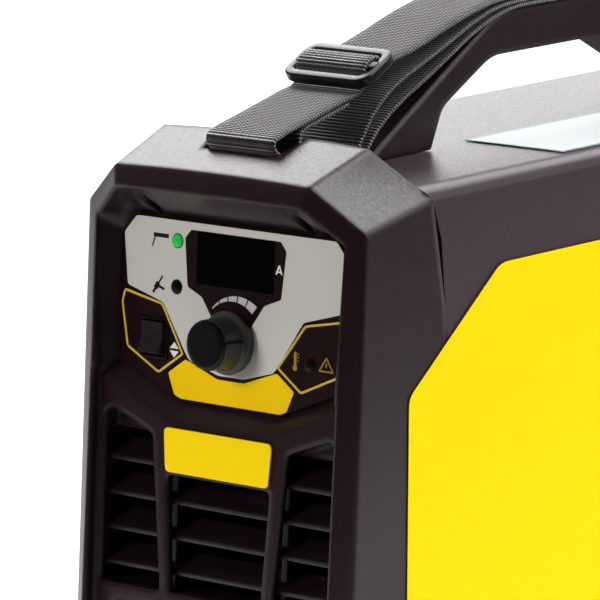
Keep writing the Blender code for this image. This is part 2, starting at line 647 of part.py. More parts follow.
def handle():
    """Arched grip with long sloped legs, its front half mirrored to the rear."""
    base = COVER_TOP + GAP
    under = COVER_TOP + GRIP_CLEAR
    top = under + GRIP_THICK
    start = FRONT + LEG_START
    crown = start + (top - base) / LEG_SLOPE
    foot = start + LEG_FOOT
    knee = (foot + 8 * MM, base + 17 * MM)
    high = (foot + 41 * MM, under)
    upper = [(start, base), (crown, top), (-crown, top), (-start, base)]
    lower = [(-foot, base), (-knee[0], knee[1]), (-high[0], high[1]), high, knee, (foot, base)]
    outline = rounded(upper + lower, [2 * MM, 40 * MM, 40 * MM, 2 * MM, 0, 12 * MM, 26 * MM, 26 * MM,
                                      12 * MM, 0], 6)
    body = prism_x("handle", outline, -HANDLE_WIDTH / 2, HANDLE_WIDTH / 2, PLASTIC)
    round_off = body.modifiers.new("edge", "BEVEL")
    round_off.width = 2 * MM
    round_off.segments = 2
    round_off.limit_method = "ANGLE"
    round_off.angle_limit = math.radians(60)
    tools = []
    for side in (-1, 1):
        hole = ring_points(HANDLE_BOLT + GAP, (0, side * bolt_y()), 20)
        tools.append(prism_z(f"handle_hole_{side}", hole, COVER_TOP - 5 * MM, COVER_TOP + 13 * MM))
    return combine(body, tools)


def handle_bolt(name, side):
    under = COVER_TOP - SHEET - GAP
    profile = [(0, under - 4 * MM), (5.5 * MM, under - 4 * MM), (5.5 * MM, under), (HANDLE_BOLT, under),
               (HANDLE_BOLT, COVER_TOP + 12 * MM), (0, COVER_TOP + 12 * MM)]
    return lathe(name, profile, Matrix.Translation((0, side * bolt_y(), 0)), STEEL, 20)


def smooth(points, steps=5):
    """Centripetal curve through the points."""
    pts = [Vector(p) for p in points]
    pts = [pts[0] * 2 - pts[1]] + pts + [pts[-1] * 2 - pts[-2]]
    out = []
    for a, b, c, d in zip(pts, pts[1:], pts[2:], pts[3:]):
        t1 = (b - a).length ** 0.5
        t2 = t1 + (c - b).length ** 0.5
        t3 = t2 + (d - c).length ** 0.5
        for k in range(steps):
            t = t1 + (t2 - t1) * k / steps
            p1 = a.lerp(b, t / t1)
            p2 = b.lerp(c, (t - t1) / (t2 - t1))
            p3 = c.lerp(d, (t - t2) / (t3 - t2))
            q1 = p1.lerp(p2, t / t2)
            q2 = p2.lerp(p3, (t - t1) / (t3 - t1))
            out.append(q1.lerp(q2, (t - t1) / (t2 - t1)))
    out.append(pts[-2])
    return out


def slider_point(s, n):
    turn = math.radians(SLIDER_ANGLE)
    return (SLIDER_AT[0] + s * math.cos(turn) - n * math.sin(turn),
            SLIDER_AT[1] + s * math.sin(turn) + n * math.cos(turn))


def anchor_turn(first, last, steps):
    """Webbing wrapped round the front bar, angles in degrees."""
    radius = BAR_RADIUS + STRAP_THICK / 2 + 0.5 * MM
    turns = [math.radians(first + (last - first) * k / steps) for k in range(steps + 1)]
    return [(BAR_DEPTH + radius * math.cos(a), BAR_RISE + radius * math.sin(a)) for a in turns]


def strap_line():
    """Strap centre line as (depth, height over the cover): out, back and out again."""
    top = GRIP_CLEAR + GRIP_THICK
    first = top + 0.6 * MM + STRAP_THICK / 2
    step = STRAP_THICK + 0.5 * MM
    mid = BODY_LENGTH / 2
    weave = [slider_point(s * MM, n * MM) for s, n in
             ((-12.6, -3.2), (-9.75, -2.95), (-7, -2.5), (-2.2, 2.75), (0, 3.1), (2.2, 2.75), (7, -2.5),
              (9.75, -2.95), (12.6, -3.2))]
    out = [(81 * MM, 26.9 * MM), (70.5 * MM, 24.3 * MM), (60.5 * MM, 21.9 * MM), (54 * MM, 20.1 * MM),
           (50.6 * MM, 17.4 * MM), (49.9 * MM, 12.5 * MM)] + anchor_turn(0, -180, 6)
    out += [(38.4 * MM, 10.6 * MM), (35 * MM, 13.6 * MM), (34.8 * MM, 16.8 * MM), (39 * MM, 18.9 * MM),
            (54 * MM, 22.6 * MM), (70 * MM, 26.5 * MM), (80 * MM, 29 * MM)] + weave
    out += [(120 * MM, 44 * MM), (133 * MM, 47.6 * MM), (147 * MM, 52 * MM), (163 * MM, 56.2 * MM),
            (180 * MM, first + step * 2 - 0.4 * MM)]
    end = BODY_LENGTH
    run = [(mid, 0), (end - 188 * MM, -0.1 * MM), (end - 175 * MM, -1.2 * MM), (end - 162 * MM, -4.4 * MM),
           (end - 128 * MM, -13.4 * MM), (end - 92 * MM, -22.8 * MM)]
    out += [(d + k * 0.6 * MM, first + step * 2 + z) for k, (d, z) in enumerate(run)]
    fold = (end - 83 * MM, first + step * 1.5 - 25.2 * MM)
    out += [(fold[0], fold[1] + step * 0.5), (fold[0] + 1.6 * MM, fold[1] - 0.4 * MM),
            (fold[0], fold[1] - step * 0.5)]
    out += [(d + k * 0.2 * MM, first + step + z) for k, (d, z) in reversed(list(enumerate(run)))]
    out += [(180 * MM, first + step - 1.2 * MM), (163 * MM, 51.6 * MM), (147 * MM, 45.2 * MM),
            (133 * MM, 39.6 * MM),
            (118 * MM, 34 * MM), (106 * MM, 28 * MM), (97 * MM, 20.8 * MM), (90.4 * MM, 12.6 * MM)]
    out += [(86.6 * MM, 6.4 * MM), (87.6 * MM, 3.6 * MM), (91.4 * MM, 5.4 * MM)]
    out += [(98 * MM, 12.4 * MM), (106.5 * MM, 19 * MM), (118 * MM, 25.4 * MM), (133 * MM, 32.4 * MM),
            (147 * MM, 39.4 * MM), (163 * MM, 47.2 * MM), (180 * MM, first - 2.2 * MM),
            (192 * MM, first - 0.2 * MM)]
    out += [(d, first + z) for d, z in run]
    out += [(BODY_LENGTH - 54 * MM, 22.6 * MM), (BODY_LENGTH - 39 * MM, 18.9 * MM),
            (BODY_LENGTH - 34.8 * MM, 16.8 * MM),
            (BODY_LENGTH - 35 * MM, 13.6 * MM), (BODY_LENGTH - 38.4 * MM, 10.6 * MM)]
    out += [(BODY_LENGTH - d, z) for d, z in reversed(anchor_turn(0, -180, 6))]
    out += [(BODY_LENGTH - 51.5 * MM, 11 * MM), (BODY_LENGTH - 54 * MM, 14.5 * MM)]
    return out


def shoulder_strap():
    line = smooth(strap_line(), 3)
    upper, lower = [], []
    for k, here in enumerate(line):
        tangent = (line[min(k + 1, len(line) - 1)] - line[max(k - 1, 0)]).normalized()
        normal = Vector((-tangent.y, tangent.x)) * STRAP_THICK / 2
        upper.append(here + normal)
        lower.append(here - normal)
    build = bmesh.new()
    rows = []
    for x in (-STRAP_WIDTH / 2, STRAP_WIDTH / 2):
        rows.append([[build.verts.new((x, FRONT + p.x, COVER_TOP + p.y)) for p in side] for side in (upper,
                                                                                                     lower)])
    (lu, ll), (ru, rl) = rows
    for k in range(len(line) - 1):
        build.faces.new((lu[k], lu[k + 1], ru[k + 1], ru[k]))
        build.faces.new((ll[k], rl[k], rl[k + 1], ll[k + 1]))
        build.faces.new((lu[k], ll[k], ll[k + 1], lu[k + 1]))
        build.faces.new((ru[k], ru[k + 1], rl[k + 1], rl[k]))
    build.faces.new((lu[0], ru[0], rl[0], ll[0]))
    build.faces.new((lu[-1], ll[-1], rl[-1], ru[-1]))
    return make("shoulder_strap", build, WEBBING)


def strap_slider():
    half, reach, t = SLIDER_WIDTH / 2, SLIDER_LENGTH / 2, SLIDER_THICK / 2
    place = Matrix.Translation((0, FRONT + SLIDER_AT[0], COVER_TOP + SLIDER_AT[1]))
    place = place @ Matrix.Rotation(math.radians(SLIDER_ANGLE), 4, "X")
    frame = prism_z("strap_slider", rounded([(-half, -reach), (half, -reach), (half, reach),
                                             (-half, reach)], 4 * MM),
                    -t, t + SLIDER_RIM, BLACK)
    frame.data.transform(place)
    slots = []
    open_half = STRAP_WIDTH / 2 + 0.7 * MM
    for k, (low, high) in enumerate(((-reach + 4.5 * MM, -1.75 * MM), (1.75 * MM, reach - 4.5 * MM))):
        slot = box(f"slider_slot_{k}", (-open_half, low, -9 * MM), (open_half, high, 9 * MM))
        slot.data.transform(place)
        slots.append(slot)
    over = box("slider_bar_top", (-open_half, -3 * MM, t), (open_half, 3 * MM, 9 * MM))
    over.data.transform(place)
    return combine(frame, slots + [over])


def strap_bar(name, side):
    end = NOTCH_WIDTH / 2 + 6.5 * MM
    rod = ring_points(BAR_RADIUS, (side * (FRONT + BAR_DEPTH), COVER_TOP + BAR_RISE), 20)
    return prism_x(name, rod, -end, end, STEEL)


def rear_bezel():
    shell = bezel_shell("rear_bezel", -1)
    tools = hood_tools("rear", -1)
    lip = [(HALF - RIDGE_INSET, COVER_TOP - RIDGE_DROP, RIDGE_DEPTH),
           (HALF - RIM_BAND, RIDGE_WAIST, RIM_DEPTH),
           (HALF - RIM_BAND, RIDGE_SILL + 8 * MM, 0), (HALF - RIM_BAND - 8 * MM, RIDGE_SILL, 0)]
    lip += [(-x, z, d) for x, z, d in reversed(lip)]
    floor = [(50 * MM, COVER_TOP - 19 * MM), (62 * MM, COVER_TOP - 31 * MM), (62 * MM, 34 * MM),
             (56 * MM, 28 * MM)]
    floor += [(-x, z) for x, z in reversed(floor)]
    back = -FRONT
    tools.append(loft("rear_recess", [[(x, back + 5 * MM, z) for x, z, d in lip],
                                      [(x, back - d, z) for x, z, d in lip],
                                      [(x, back - REAR_FLOOR, z) for x, z in floor]]))
    inside = back - REAR_FLOOR - WALL
    inner = HALF - WALL
    base = FOOT_HEIGHT + WALL
    hollow = [(inner, base + 9 * MM), (inner, WAIST - 4 * MM), (inner - 22 * MM, COVER_TOP - WALL),
              (22 * MM - inner, COVER_TOP - WALL), (-inner, WAIST - 4 * MM), (-inner, base + 9 * MM),
              (9 * MM - inner, base), (inner - 9 * MM, base)]
    tools.append(prism_y("rear_hollow", hollow, inside, inside - 100 * MM))
    hole = ring_points(FAN_BORE, (0, FAN_HEIGHT), 48)
    tools.append(prism_y("fan_hole", hole, back, inside - 9 * MM))
    tools.append(prism_y("switch_cut", rectangle(SWITCH_CENTRE, 13 * MM, 16 * MM), back, inside - 9 * MM))
    tools.append(prism_y("gland_hole", ring_points(8.3 * MM, GLAND_CENTRE, 24), back, inside - 9 * MM))
    return combine(shell, tools)


def fan_guard():
    """Round guard of rings on a cross of bars, standing just off the rear panel."""
    y = -FRONT - REAR_FLOOR + GAP
    place = along_y(y, 0, FAN_HEIGHT)
    thick = 2.6 * MM

    def ring(name, inner, outer, finish=None):
        profile = [(inner, 0), (outer, 0), (outer, thick), (inner, thick), (inner, 0)]
        return lathe(name, profile, place, finish, 48)

    guard = ring("fan_guard", FAN_BORE + 0.5 * MM, FAN_BORE + 4 * MM, STEEL)
    parts = [ring(f"guard_ring_{k}", r * MM, (r + 2.2) * MM) for k, r in enumerate((7, 16, 25, 34))]
    reach = FAN_BORE + 2 * MM
    for k, (wide, tall) in enumerate(((reach, 1.3 * MM), (1.3 * MM, reach))):
        outline = rectangle((0, FAN_HEIGHT), wide, tall)
        parts.append(prism_y(f"guard_bar_{k}", outline, y + (0.4 + k * 0.2) * MM,
                             y + thick - (0.4 + k * 0.2) * MM))
    return combine(guard, parts, "UNION")


def fan():
    start = -FRONT - REAR_FLOOR - WALL - GAP
    place = along_y(start, 0, FAN_HEIGHT, backwards=True)
    half = FAN_SIZE / 2
    outline = rounded(rectangle((0, FAN_HEIGHT), half, half), 5 * MM)
    frame = prism_y("fan_frame", outline, start, start - FAN_DEPTH, BLACK)
    combine(frame, [prism_y("fan_duct", ring_points(FAN_BORE, (0, FAN_HEIGHT), 48), start + 5 * MM,
                            start - 40 * MM)])
    low = start - FAN_DEPTH
    hub = [(0, 8 * MM), (2 * MM, 8 * MM), (2 * MM, FAN_DEPTH - 3 * MM), (17 * MM, FAN_DEPTH - 3 * MM),
           (17 * MM, FAN_DEPTH - 0.2 * MM), (0, FAN_DEPTH - 0.2 * MM)]
    parts = [lathe("fan_stator", hub, place)]
    for k, (wide, tall) in enumerate(((half - 1 * MM, 2.7 * MM), (2.7 * MM, half - 1 * MM))):
        outline = rectangle((0, FAN_HEIGHT), wide, tall)
        parts.append(prism_y(f"fan_strut_{k}", outline, low + (0.4 + k * 0.2) * MM,
                             low + (2.8 - k * 0.2) * MM))
    combine(frame, parts, "UNION")
    profile = [(2.4 * MM, 6 * MM), (18 * MM, 6 * MM), (19 * MM, 7 * MM), (19 * MM, FAN_DEPTH - 4 * MM),
               (2.4 * MM, FAN_DEPTH - 4 * MM), (2.4 * MM, 6 * MM)]
    rotor = lathe("fan_rotor", profile, Matrix(), BLACK, 36)
    blades = []
    for k in range(7):
        loops = []
        for radius, twist in ((17.5 * MM, 40), (FAN_BORE - 2 * MM, 28)):
            lean = math.radians(twist)
            chord = 9 * MM
            points = []
            for a, b in ((-chord, -0.9 * MM), (chord, -0.9 * MM), (chord, 0.9 * MM), (-chord, 0.9 * MM)):
                across = a * math.cos(lean) - b * math.sin(lean)
                along = a * math.sin(lean) + b * math.cos(lean)
                points.append((radius, across, 13.4 * MM + along))
            loops.append(points)
        blade = loft(f"fan_blade_{k}", loops)
        blade.data.transform(Matrix.Rotation(2 * math.pi * k / 7, 4, "Z"))
        blades.append(blade)
    for blade in blades:
        blade.matrix_world = place
    rotor.matrix_world = place
    return combine(rotor, blades, "UNION")


def gland():
    x, z = GLAND_CENTRE
    place = along_y(-FRONT - REAR_FLOOR, x, z)
    body = [(GLAND_BORE, 14 * MM), (9.5 * MM, 14 * MM), (11 * MM, 12 * MM), (11 * MM, GAP), (8 * MM, GAP),
            (8 * MM, -12 * MM), (GLAND_BORE, -12 * MM), (GLAND_BORE, 14 * MM)]
    lathe("gland_body", body, place, BLACK, 24)
    nut = [(9.7 * MM, -WALL - GAP), (13 * MM, -WALL - GAP), (13 * MM, -WALL - 6 * MM),
           (9.7 * MM, -WALL - 6 * MM),
           (9.7 * MM, -WALL - GAP)]
    lathe("gland_nut", nut, place, BLACK, 6)


def foot(name, hand, side):
    profile = [(0, 0), (FOOT_RADIUS - 1 * MM, 0), (FOOT_RADIUS, 2 * MM),
               (FOOT_RADIUS - 1.5 * MM, FOOT_HEIGHT - GAP),
               (2.5 * MM, FOOT_HEIGHT - GAP), (2.5 * MM, FOOT_HEIGHT + WALL), (0, FOOT_HEIGHT + WALL)]
    return lathe(name, profile, Matrix.Translation((hand * FOOT_SPREAD, side * (FRONT + FOOT_DEPTH), 0)),
                 RUBBER, 28)


def inner_parts():
    floor = BOARD_HEIGHT + GAP
    deck = floor + BOARD_THICK + GAP
    box("main_board", (-BOARD_WIDTH / 2, -BOARD_LENGTH / 2, floor),
        (BOARD_WIDTH / 2, BOARD_LENGTH / 2, floor + BOARD_THICK), BOARD)
    root = SINK_SPINE + SINK_WALL
    sink_top = deck + 2 * MM + FIN_PITCH * (FIN_COUNT - 1) + FIN_THICK + 4 * MM
    for name, hand in (("heat_sink_left", -1), ("heat_sink_right", 1)):
        outline = [(SINK_SPINE, deck), (root, deck)]
        for k in range(FIN_COUNT):
            z = deck + 2 * MM + FIN_PITCH * k
            outline += [(root, z), (SINK_REACH, z), (SINK_REACH, z + FIN_THICK), (root, z + FIN_THICK)]
        outline += [(root, sink_top), (SINK_SPINE, sink_top)]
        prism_y(name, [(hand * x, z) for x, z in outline], -SINK_LENGTH, 0, ALLOY)
    core = box("transformer_core", (-27 * MM, 14 * MM, deck), (27 * MM, 54 * MM, deck + 46 * MM), FERRITE)
    windows = [box(f"core_window_{k}", (a, 0, deck + 9 * MM), (b, 70 * MM, deck + 37 * MM))
               for k, (a, b) in enumerate(((-19 * MM, -8 * MM), (8 * MM, 19 * MM)))]
    combine(core, windows)
    coil = box("transformer_winding", (-18.7 * MM, 3 * MM, deck + 9.4 * MM),
               (18.7 * MM, 65 * MM, deck + 36.6 * MM), COPPER)
    combine(coil, [box("coil_hole", (-8.3 * MM, 13.7 * MM, deck), (8.3 * MM, 54.3 * MM, deck + 50 * MM))])
    ring = [(8 * MM, deck), (17 * MM, deck), (19 * MM, deck + 2 * MM), (19 * MM, deck + 16 * MM),
            (17 * MM, deck + 18 * MM), (8 * MM, deck + 18 * MM), (8 * MM, deck)]
    lathe("output_choke", ring, Matrix.Translation((0, -55 * MM, 0)), COPPER, 28)
    r, top = CAPACITOR_RADIUS, deck + CAPACITOR_LENGTH
    can = [(0, deck), (r, deck), (r, top - 1 * MM), (r - 1 * MM, top), (0, top)]
    for k in range(3):
        spot = Matrix.Translation(((k - 1) * CAPACITOR_PITCH, CAPACITOR_ROW, 0))
        lathe(f"bulk_capacitor_{k + 1}", can, spot, GLASS, 24)
    half = CONTROL_BOARD_WIDTH / 2
    board = [(-half, CONTROL_BOARD_FOOT), (half, CONTROL_BOARD_FOOT), (half, CONTROL_BOARD_TOP),
             (-half, CONTROL_BOARD_TOP)]
    leaned("control_board", board, PANEL_DEPTH, PANEL_HEIGHT, 11.8 * MM, 13.4 * MM, BOARD)


front_bezel()
louvre_insert()
control_panel()
leaned("display_window", rectangle(WINDOW_CENTRE, WINDOW_WIDTH / 2 - GAP, WINDOW_HEIGHT / 2 - GAP),
       PANEL_DEPTH,
       PANEL_HEIGHT, -0.2 * MM, 11.4 * MM, GLASS)
led("led_stick", LED_STICK, GREEN)
led("led_tig", LED_TIG, DARK_LED)
led("led_fault", LED_FAULT, DARK_LED)
knob_set()
rocker_switch("mode_switch_body", "mode_rocker", facing_panel(*ROCKER_CENTRE), ROCKER_WIDTH, ROCKER_HEIGHT,
              0.4 * MM, 11.3 * MM, 0)
badge = [(-BADGE_WIDTH / 2, BADGE_CENTRE + BADGE_HEIGHT / 2),
         (BADGE_WIDTH / 2, BADGE_CENTRE + BADGE_HEIGHT / 2),
         (BADGE_WIDTH / 2 - 1.4 * MM, BADGE_CENTRE - BADGE_HEIGHT / 2),
         (-BADGE_WIDTH / 2 + 1.4 * MM, BADGE_CENTRE - BADGE_HEIGHT / 2)]
leaned("badge_plate", rounded(badge, 2.5 * MM), LOWER_DEPTH, LOWER_HEIGHT, -1.2 * MM, -GAP, YELLOW)
front_screw("front_screw_left", -1)
front_screw("front_screw_right", 1)
socket("negative", -1)
socket("positive", 1)
top_cover()
chassis_tray()
side_film("side_film_left", -1)
side_film("side_film_right", 1)
box("top_label", (LABEL_INNER, FRONT + LABEL_START, COVER_TOP + GAP),
    (LABEL_OUTER, -FRONT - LABEL_END, COVER_TOP + 2 * GAP), PAPER)
handle()
handle_bolt("handle_bolt_front", 1)
handle_bolt("handle_bolt_rear", -1)
shoulder_strap()
strap_slider()
strap_bar("strap_bar_front", 1)
strap_bar("strap_bar_rear", -1)
rear_bezel()
fan_guard()
fan()
rear_switch = along_y(-FRONT - REAR_FLOOR, *SWITCH_CENTRE) @ Matrix.Rotation(math.pi, 4, "Z")
rocker_switch("power_switch_body", "power_rocker", rear_switch, 22 * MM, 28 * MM, 2 * MM, 16 * MM, 1.2 * MM)
gland()
foot("foot_front_left", -1, 1)
foot("foot_front_right", 1, 1)
foot("foot_rear_left", -1, -1)
foot("foot_rear_right", 1, -1)
inner_parts()
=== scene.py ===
import math

import bpy
import numpy as np
from mathutils import Matrix, Vector


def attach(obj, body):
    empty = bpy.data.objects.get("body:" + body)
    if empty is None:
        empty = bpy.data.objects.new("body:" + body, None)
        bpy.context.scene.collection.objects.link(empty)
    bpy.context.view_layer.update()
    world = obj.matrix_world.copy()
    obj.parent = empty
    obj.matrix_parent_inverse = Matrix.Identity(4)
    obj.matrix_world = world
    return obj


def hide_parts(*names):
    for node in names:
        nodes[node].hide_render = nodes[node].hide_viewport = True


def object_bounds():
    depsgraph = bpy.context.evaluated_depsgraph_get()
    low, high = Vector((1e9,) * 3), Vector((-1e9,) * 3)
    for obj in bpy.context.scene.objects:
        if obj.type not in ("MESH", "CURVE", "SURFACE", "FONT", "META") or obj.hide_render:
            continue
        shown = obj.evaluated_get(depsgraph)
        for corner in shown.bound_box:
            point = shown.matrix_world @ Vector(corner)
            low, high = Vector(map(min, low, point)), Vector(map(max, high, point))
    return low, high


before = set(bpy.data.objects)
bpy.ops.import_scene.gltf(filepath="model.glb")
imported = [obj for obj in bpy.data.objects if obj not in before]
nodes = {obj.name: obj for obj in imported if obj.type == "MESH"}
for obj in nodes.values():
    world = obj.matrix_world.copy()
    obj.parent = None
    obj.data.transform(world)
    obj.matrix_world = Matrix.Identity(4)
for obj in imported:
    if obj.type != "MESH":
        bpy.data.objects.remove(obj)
cadLow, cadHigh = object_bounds()
mm = 0.001  # in metres
print("frame loaded:", len(nodes), "nodes")


# small helpers

def linear(hexText):
    # sRGB hex to linear light: a straight line near black, a power curve above it
    value = np.array([int(hexText[k:k + 2], 16) for k in (0, 2, 4)]) / 255
    low = value / 12.92
    high = ((value + 0.055) / 1.055) ** 2.4
    return tuple(np.where(value <= 0.04045, low, high)) + (1.0,)


def addNode(tree, kind, settings=None, **links):
    # links: input name (or _n for input number n) = output socket or constant
    node = tree.nodes.new(kind)
    for key, value in (settings or {}).items():
        setattr(node, key, value)
    for key, value in links.items():
        socket = node.inputs[int(key[1:])] if key[0] == "_" else node.inputs[key.replace("__", " ")]
        if isinstance(value, bpy.types.NodeSocket):
            tree.links.new(value, socket)
        else:
            socket.default_value = value
    return node


def newMaterial(name):
    made = bpy.data.materials.new(name)
    made.use_nodes = True
    return made, made.node_tree, made.node_tree.nodes["Principled BSDF"]


def setShader(shader, **values):
    for key, value in values.items():
        shader.inputs[key.replace("__", " ")].default_value = value


def nodePoints(name):
    # all corners of a CAD node's mesh, one row of x, y, z in metres for each
    corners = nodes[name].data.vertices
    flat = np.zeros(len(corners) * 3, np.float32)
    corners.foreach_get("co", flat)
    return flat.reshape(-1, 3).astype(float)


def gridFaces(rows, cols, closeRows=False, closeCols=False):
    # quads between neighbours of a rows x cols grid, wrapped where closed
    r = np.arange(rows if closeRows else rows - 1)[:, None]
    c = np.arange(cols if closeCols else cols - 1)[None, :]
    r2, c2 = (r + 1) % rows, (c + 1) % cols
    quad = np.stack(np.broadcast_arrays(r * cols + c, r * cols + c2, r2 * cols + c2, r2 * cols + c), -1)
    return quad.reshape(-1, 4)


def addPiece(name, points, faces, material, body, replaced=(), smooth=True, uv=None):
    # points in metres; uv, where given, has one row for each point
    mesh = bpy.data.meshes.new(name)
    mesh.from_pydata(np.asarray(points, float).tolist(), [], faces)
    mesh.polygons.foreach_set("use_smooth", [smooth] * len(mesh.polygons))
    if uv is not None:
        layer = mesh.uv_layers.new(name="threads")
        corner = np.zeros(len(mesh.loops), np.int32)
        mesh.loops.foreach_get("vertex_index", corner)
        layer.data.foreach_set("uv", np.asarray(uv, float)[corner].ravel())
    mesh.materials.append(material)
    mesh.validate()
    made = bpy.data.objects.new(name, mesh)
    bpy.context.scene.collection.objects.link(made)
    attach(made, body)
    if replaced:
        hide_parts(*replaced)
    return made


# camera, light and floor

# angles in degrees, lens and sensor in mm, place and clip in metres
view = {"azimuth": 41.6852, "elevation": 10.6904, "roll": -1.1316, "lens": 341.174, "sensor": 36.0,
        "place": (1.551332, -1.892862, 0.628543), "clip": (0.05, 200)}


def addCamera():
    # back points from the object to the camera; roll turns right and up about it
    az, el, roll = (math.radians(view[k]) for k in ("azimuth", "elevation", "roll"))
    back = Vector((math.sin(az) * math.cos(el), -math.cos(az) * math.cos(el), math.sin(el)))
    right = (-back).cross(Vector((0, 0, 1))).normalized()
    up = right.cross(-back)
    across = right * math.cos(roll) + up * math.sin(roll)
    above = up * math.cos(roll) - right * math.sin(roll)
    data = bpy.data.cameras.new("camera")
    data.lens, data.sensor_width = view["lens"], view["sensor"]
    data.clip_start, data.clip_end = view["clip"]
    camera = bpy.data.objects.new("camera", data)
    turned = Matrix((across, above, back)).transposed().to_4x4()
    camera.matrix_world = Matrix.Translation(view["place"]) @ turned
    bpy.context.scene.collection.objects.link(camera)
    bpy.context.scene.camera = camera
    return back


# a pale table top that ends a little in front of the object; dark room ahead, pale backdrop behind (metres)
studio = {
    "floorLow": (-9.0, -0.5), "floorHigh": (0.5, 12.0), "floorColour": "ececec", "floorRoughness": 0.9,
    "floorGlow": 0.4, "floorFarGlow": 0.95, "glowFrom": 1.2, "glowTo": 4.0,  # glow near and far, and where it grows
    "worldFront": 0.04, "worldBack": 0.5, "worldLift": 0.35, "worldFrom": -0.2, "worldTo": 0.9,
    "cards": ("backPanel", "edgePanel"),  # only seen in reflections
    "fills": ("frontBox",),  # never seen in reflections
    "boxes": {  # place, aim, width, height, watts
        "topBox": ((0.75, 0.58, 2.0), (0, -0.1, 0.2), 1.0, 1.0, 42),
        "visorBox": ((-1.57, 0.86, 1.72), (0, -0.2, 0.25), 0.9, 0.9, 24),
        "backPanel": ((-1.96, 2.1, 0.75), (0, 0, 0.25), 2.4, 1.2, 27),
        "edgePanel": ((-0.4, 2.0, 1.9), (0, 0, 0.25), 1.7, 0.8, 26),
        "sideBox": ((2.6, 1.2, 1.4), (0, 0, 0.15), 1.6, 1.6, 45),
        "frontBox": ((-1.1, -2.8, 1.4), (0, -0.2, 0.17), 1.0, 1.0, 63)}}


def floorPaint():
    # matt pale paint; a glow for camera, mirror and glass rays keeps it white and leaves the shadow on it
    made, tree, shader = newMaterial("pale studio floor, matt paint")
    setShader(shader, Base__Color=linear(studio["floorColour"]), Roughness=studio["floorRoughness"],
              Emission__Color=(1, 1, 1, 1))
    ray = addNode(tree, "ShaderNodeLightPath")
    straight = addNode(tree, "ShaderNodeMath", {"operation": "MAXIMUM"}, _0=ray.outputs["Is Camera Ray"],
                       _1=ray.outputs["Is Glossy Ray"])
    seen = addNode(tree, "ShaderNodeMath", {"operation": "MAXIMUM"}, _0=straight.outputs[0],
                   _1=ray.outputs["Is Transmission Ray"])
    # the glow grows with the distance from the origin, where the lamps no longer reach
    spot = addNode(tree, "ShaderNodeTexCoord")
    away = addNode(tree, "ShaderNodeVectorMath", {"operation": "LENGTH"}, _0=spot.outputs["Object"])
    own = addNode(tree, "ShaderNodeMapRange", Value=away.outputs["Value"], _1=studio["glowFrom"],
                  _2=studio["glowTo"], _3=studio["floorGlow"], _4=studio["floorFarGlow"])
    glow = addNode(tree, "ShaderNodeMath", {"operation": "MULTIPLY"}, _0=seen.outputs[0], _1=own.outputs[0])
    tree.links.new(glow.outputs[0], shader.inputs["Emission Strength"])
    return made


def addFloor():
    (left, near), (right, far) = studio["floorLow"], studio["floorHigh"]
    mesh = bpy.data.meshes.new("floor")
    mesh.from_pydata([(left, near, 0), (right, near, 0), (right, far, 0), (left, far, 0)], [], [(0, 1, 2, 3)])
    mesh.materials.append(floorPaint())
    floor = bpy.data.objects.new("floor", mesh)
    bpy.context.scene.collection.objects.link(floor)


def addWorld(cameraBack):
    # pale behind and above the object, dimmer in front: strength follows the dot product with that direction
    world = bpy.data.worlds.new("studio")
    bpy.context.scene.world = world
    world.use_nodes = True
    tree = world.node_tree
    sky = tree.nodes["Background"]
    bright = Vector((-cameraBack.x, -cameraBack.y, studio["worldLift"])).normalized()
    way = addNode(tree, "ShaderNodeTexCoord")
    facing = addNode(tree, "ShaderNodeVectorMath", {"operation": "DOT_PRODUCT"}, _0=way.outputs["Generated"],
                     _1=tuple(bright))
    level = addNode(tree, "ShaderNodeMapRange", {"interpolation_type": "SMOOTHSTEP"},
                    Value=facing.outputs["Value"], _1=studio["worldFrom"], _2=studio["worldTo"],
                    _3=studio["worldFront"], _4=studio["worldBack"])
    ray = addNode(tree, "ShaderNodeLightPath")
    strength = addNode(tree, "ShaderNodeMix", {"data_type": "FLOAT"}, _0=ray.outputs["Is Camera Ray"],
                       _2=level.outputs[0], _3=1.0)  # the camera itself sees white
    setShader(sky, Color=(1, 1, 1, 1))
    tree.links.new(strength.outputs[0], sky.inputs["Strength"])


def addLamps():
    for name, (place, aim, width, height, watts) in studio["boxes"].items():
        data = bpy.data.lights.new(name, "AREA")
        data.shape, data.size, data.size_y, data.energy = "RECTANGLE", width, height, watts
        lamp = bpy.data.objects.new(name, data)
        lamp.location = place
        lamp.rotation_euler = (Vector(aim) - Vector(place)).to_track_quat("-Z", "Y").to_euler()
        lamp.visible_camera = False
        lamp.visible_diffuse = name not in studio["cards"]
        lamp.visible_glossy = name not in studio["fills"]
        bpy.context.scene.collection.objects.link(lamp)


bpy.context.scene.view_settings.view_transform = "Standard"
addFloor()
addWorld(addCamera())
addLamps()
print("camera, lamps and floor placed")


# finishes

# what all grained finishes share: noise detail and weight, the part of the noise that moves the roughness
grainLook = {"detail": 2.0, "weight": 0.55, "low": 0.3, "high": 0.7, "cloudDetail": 3.0,
             "leastRoughness": 0.02, "ior": 1.5, "softSamples": 6}


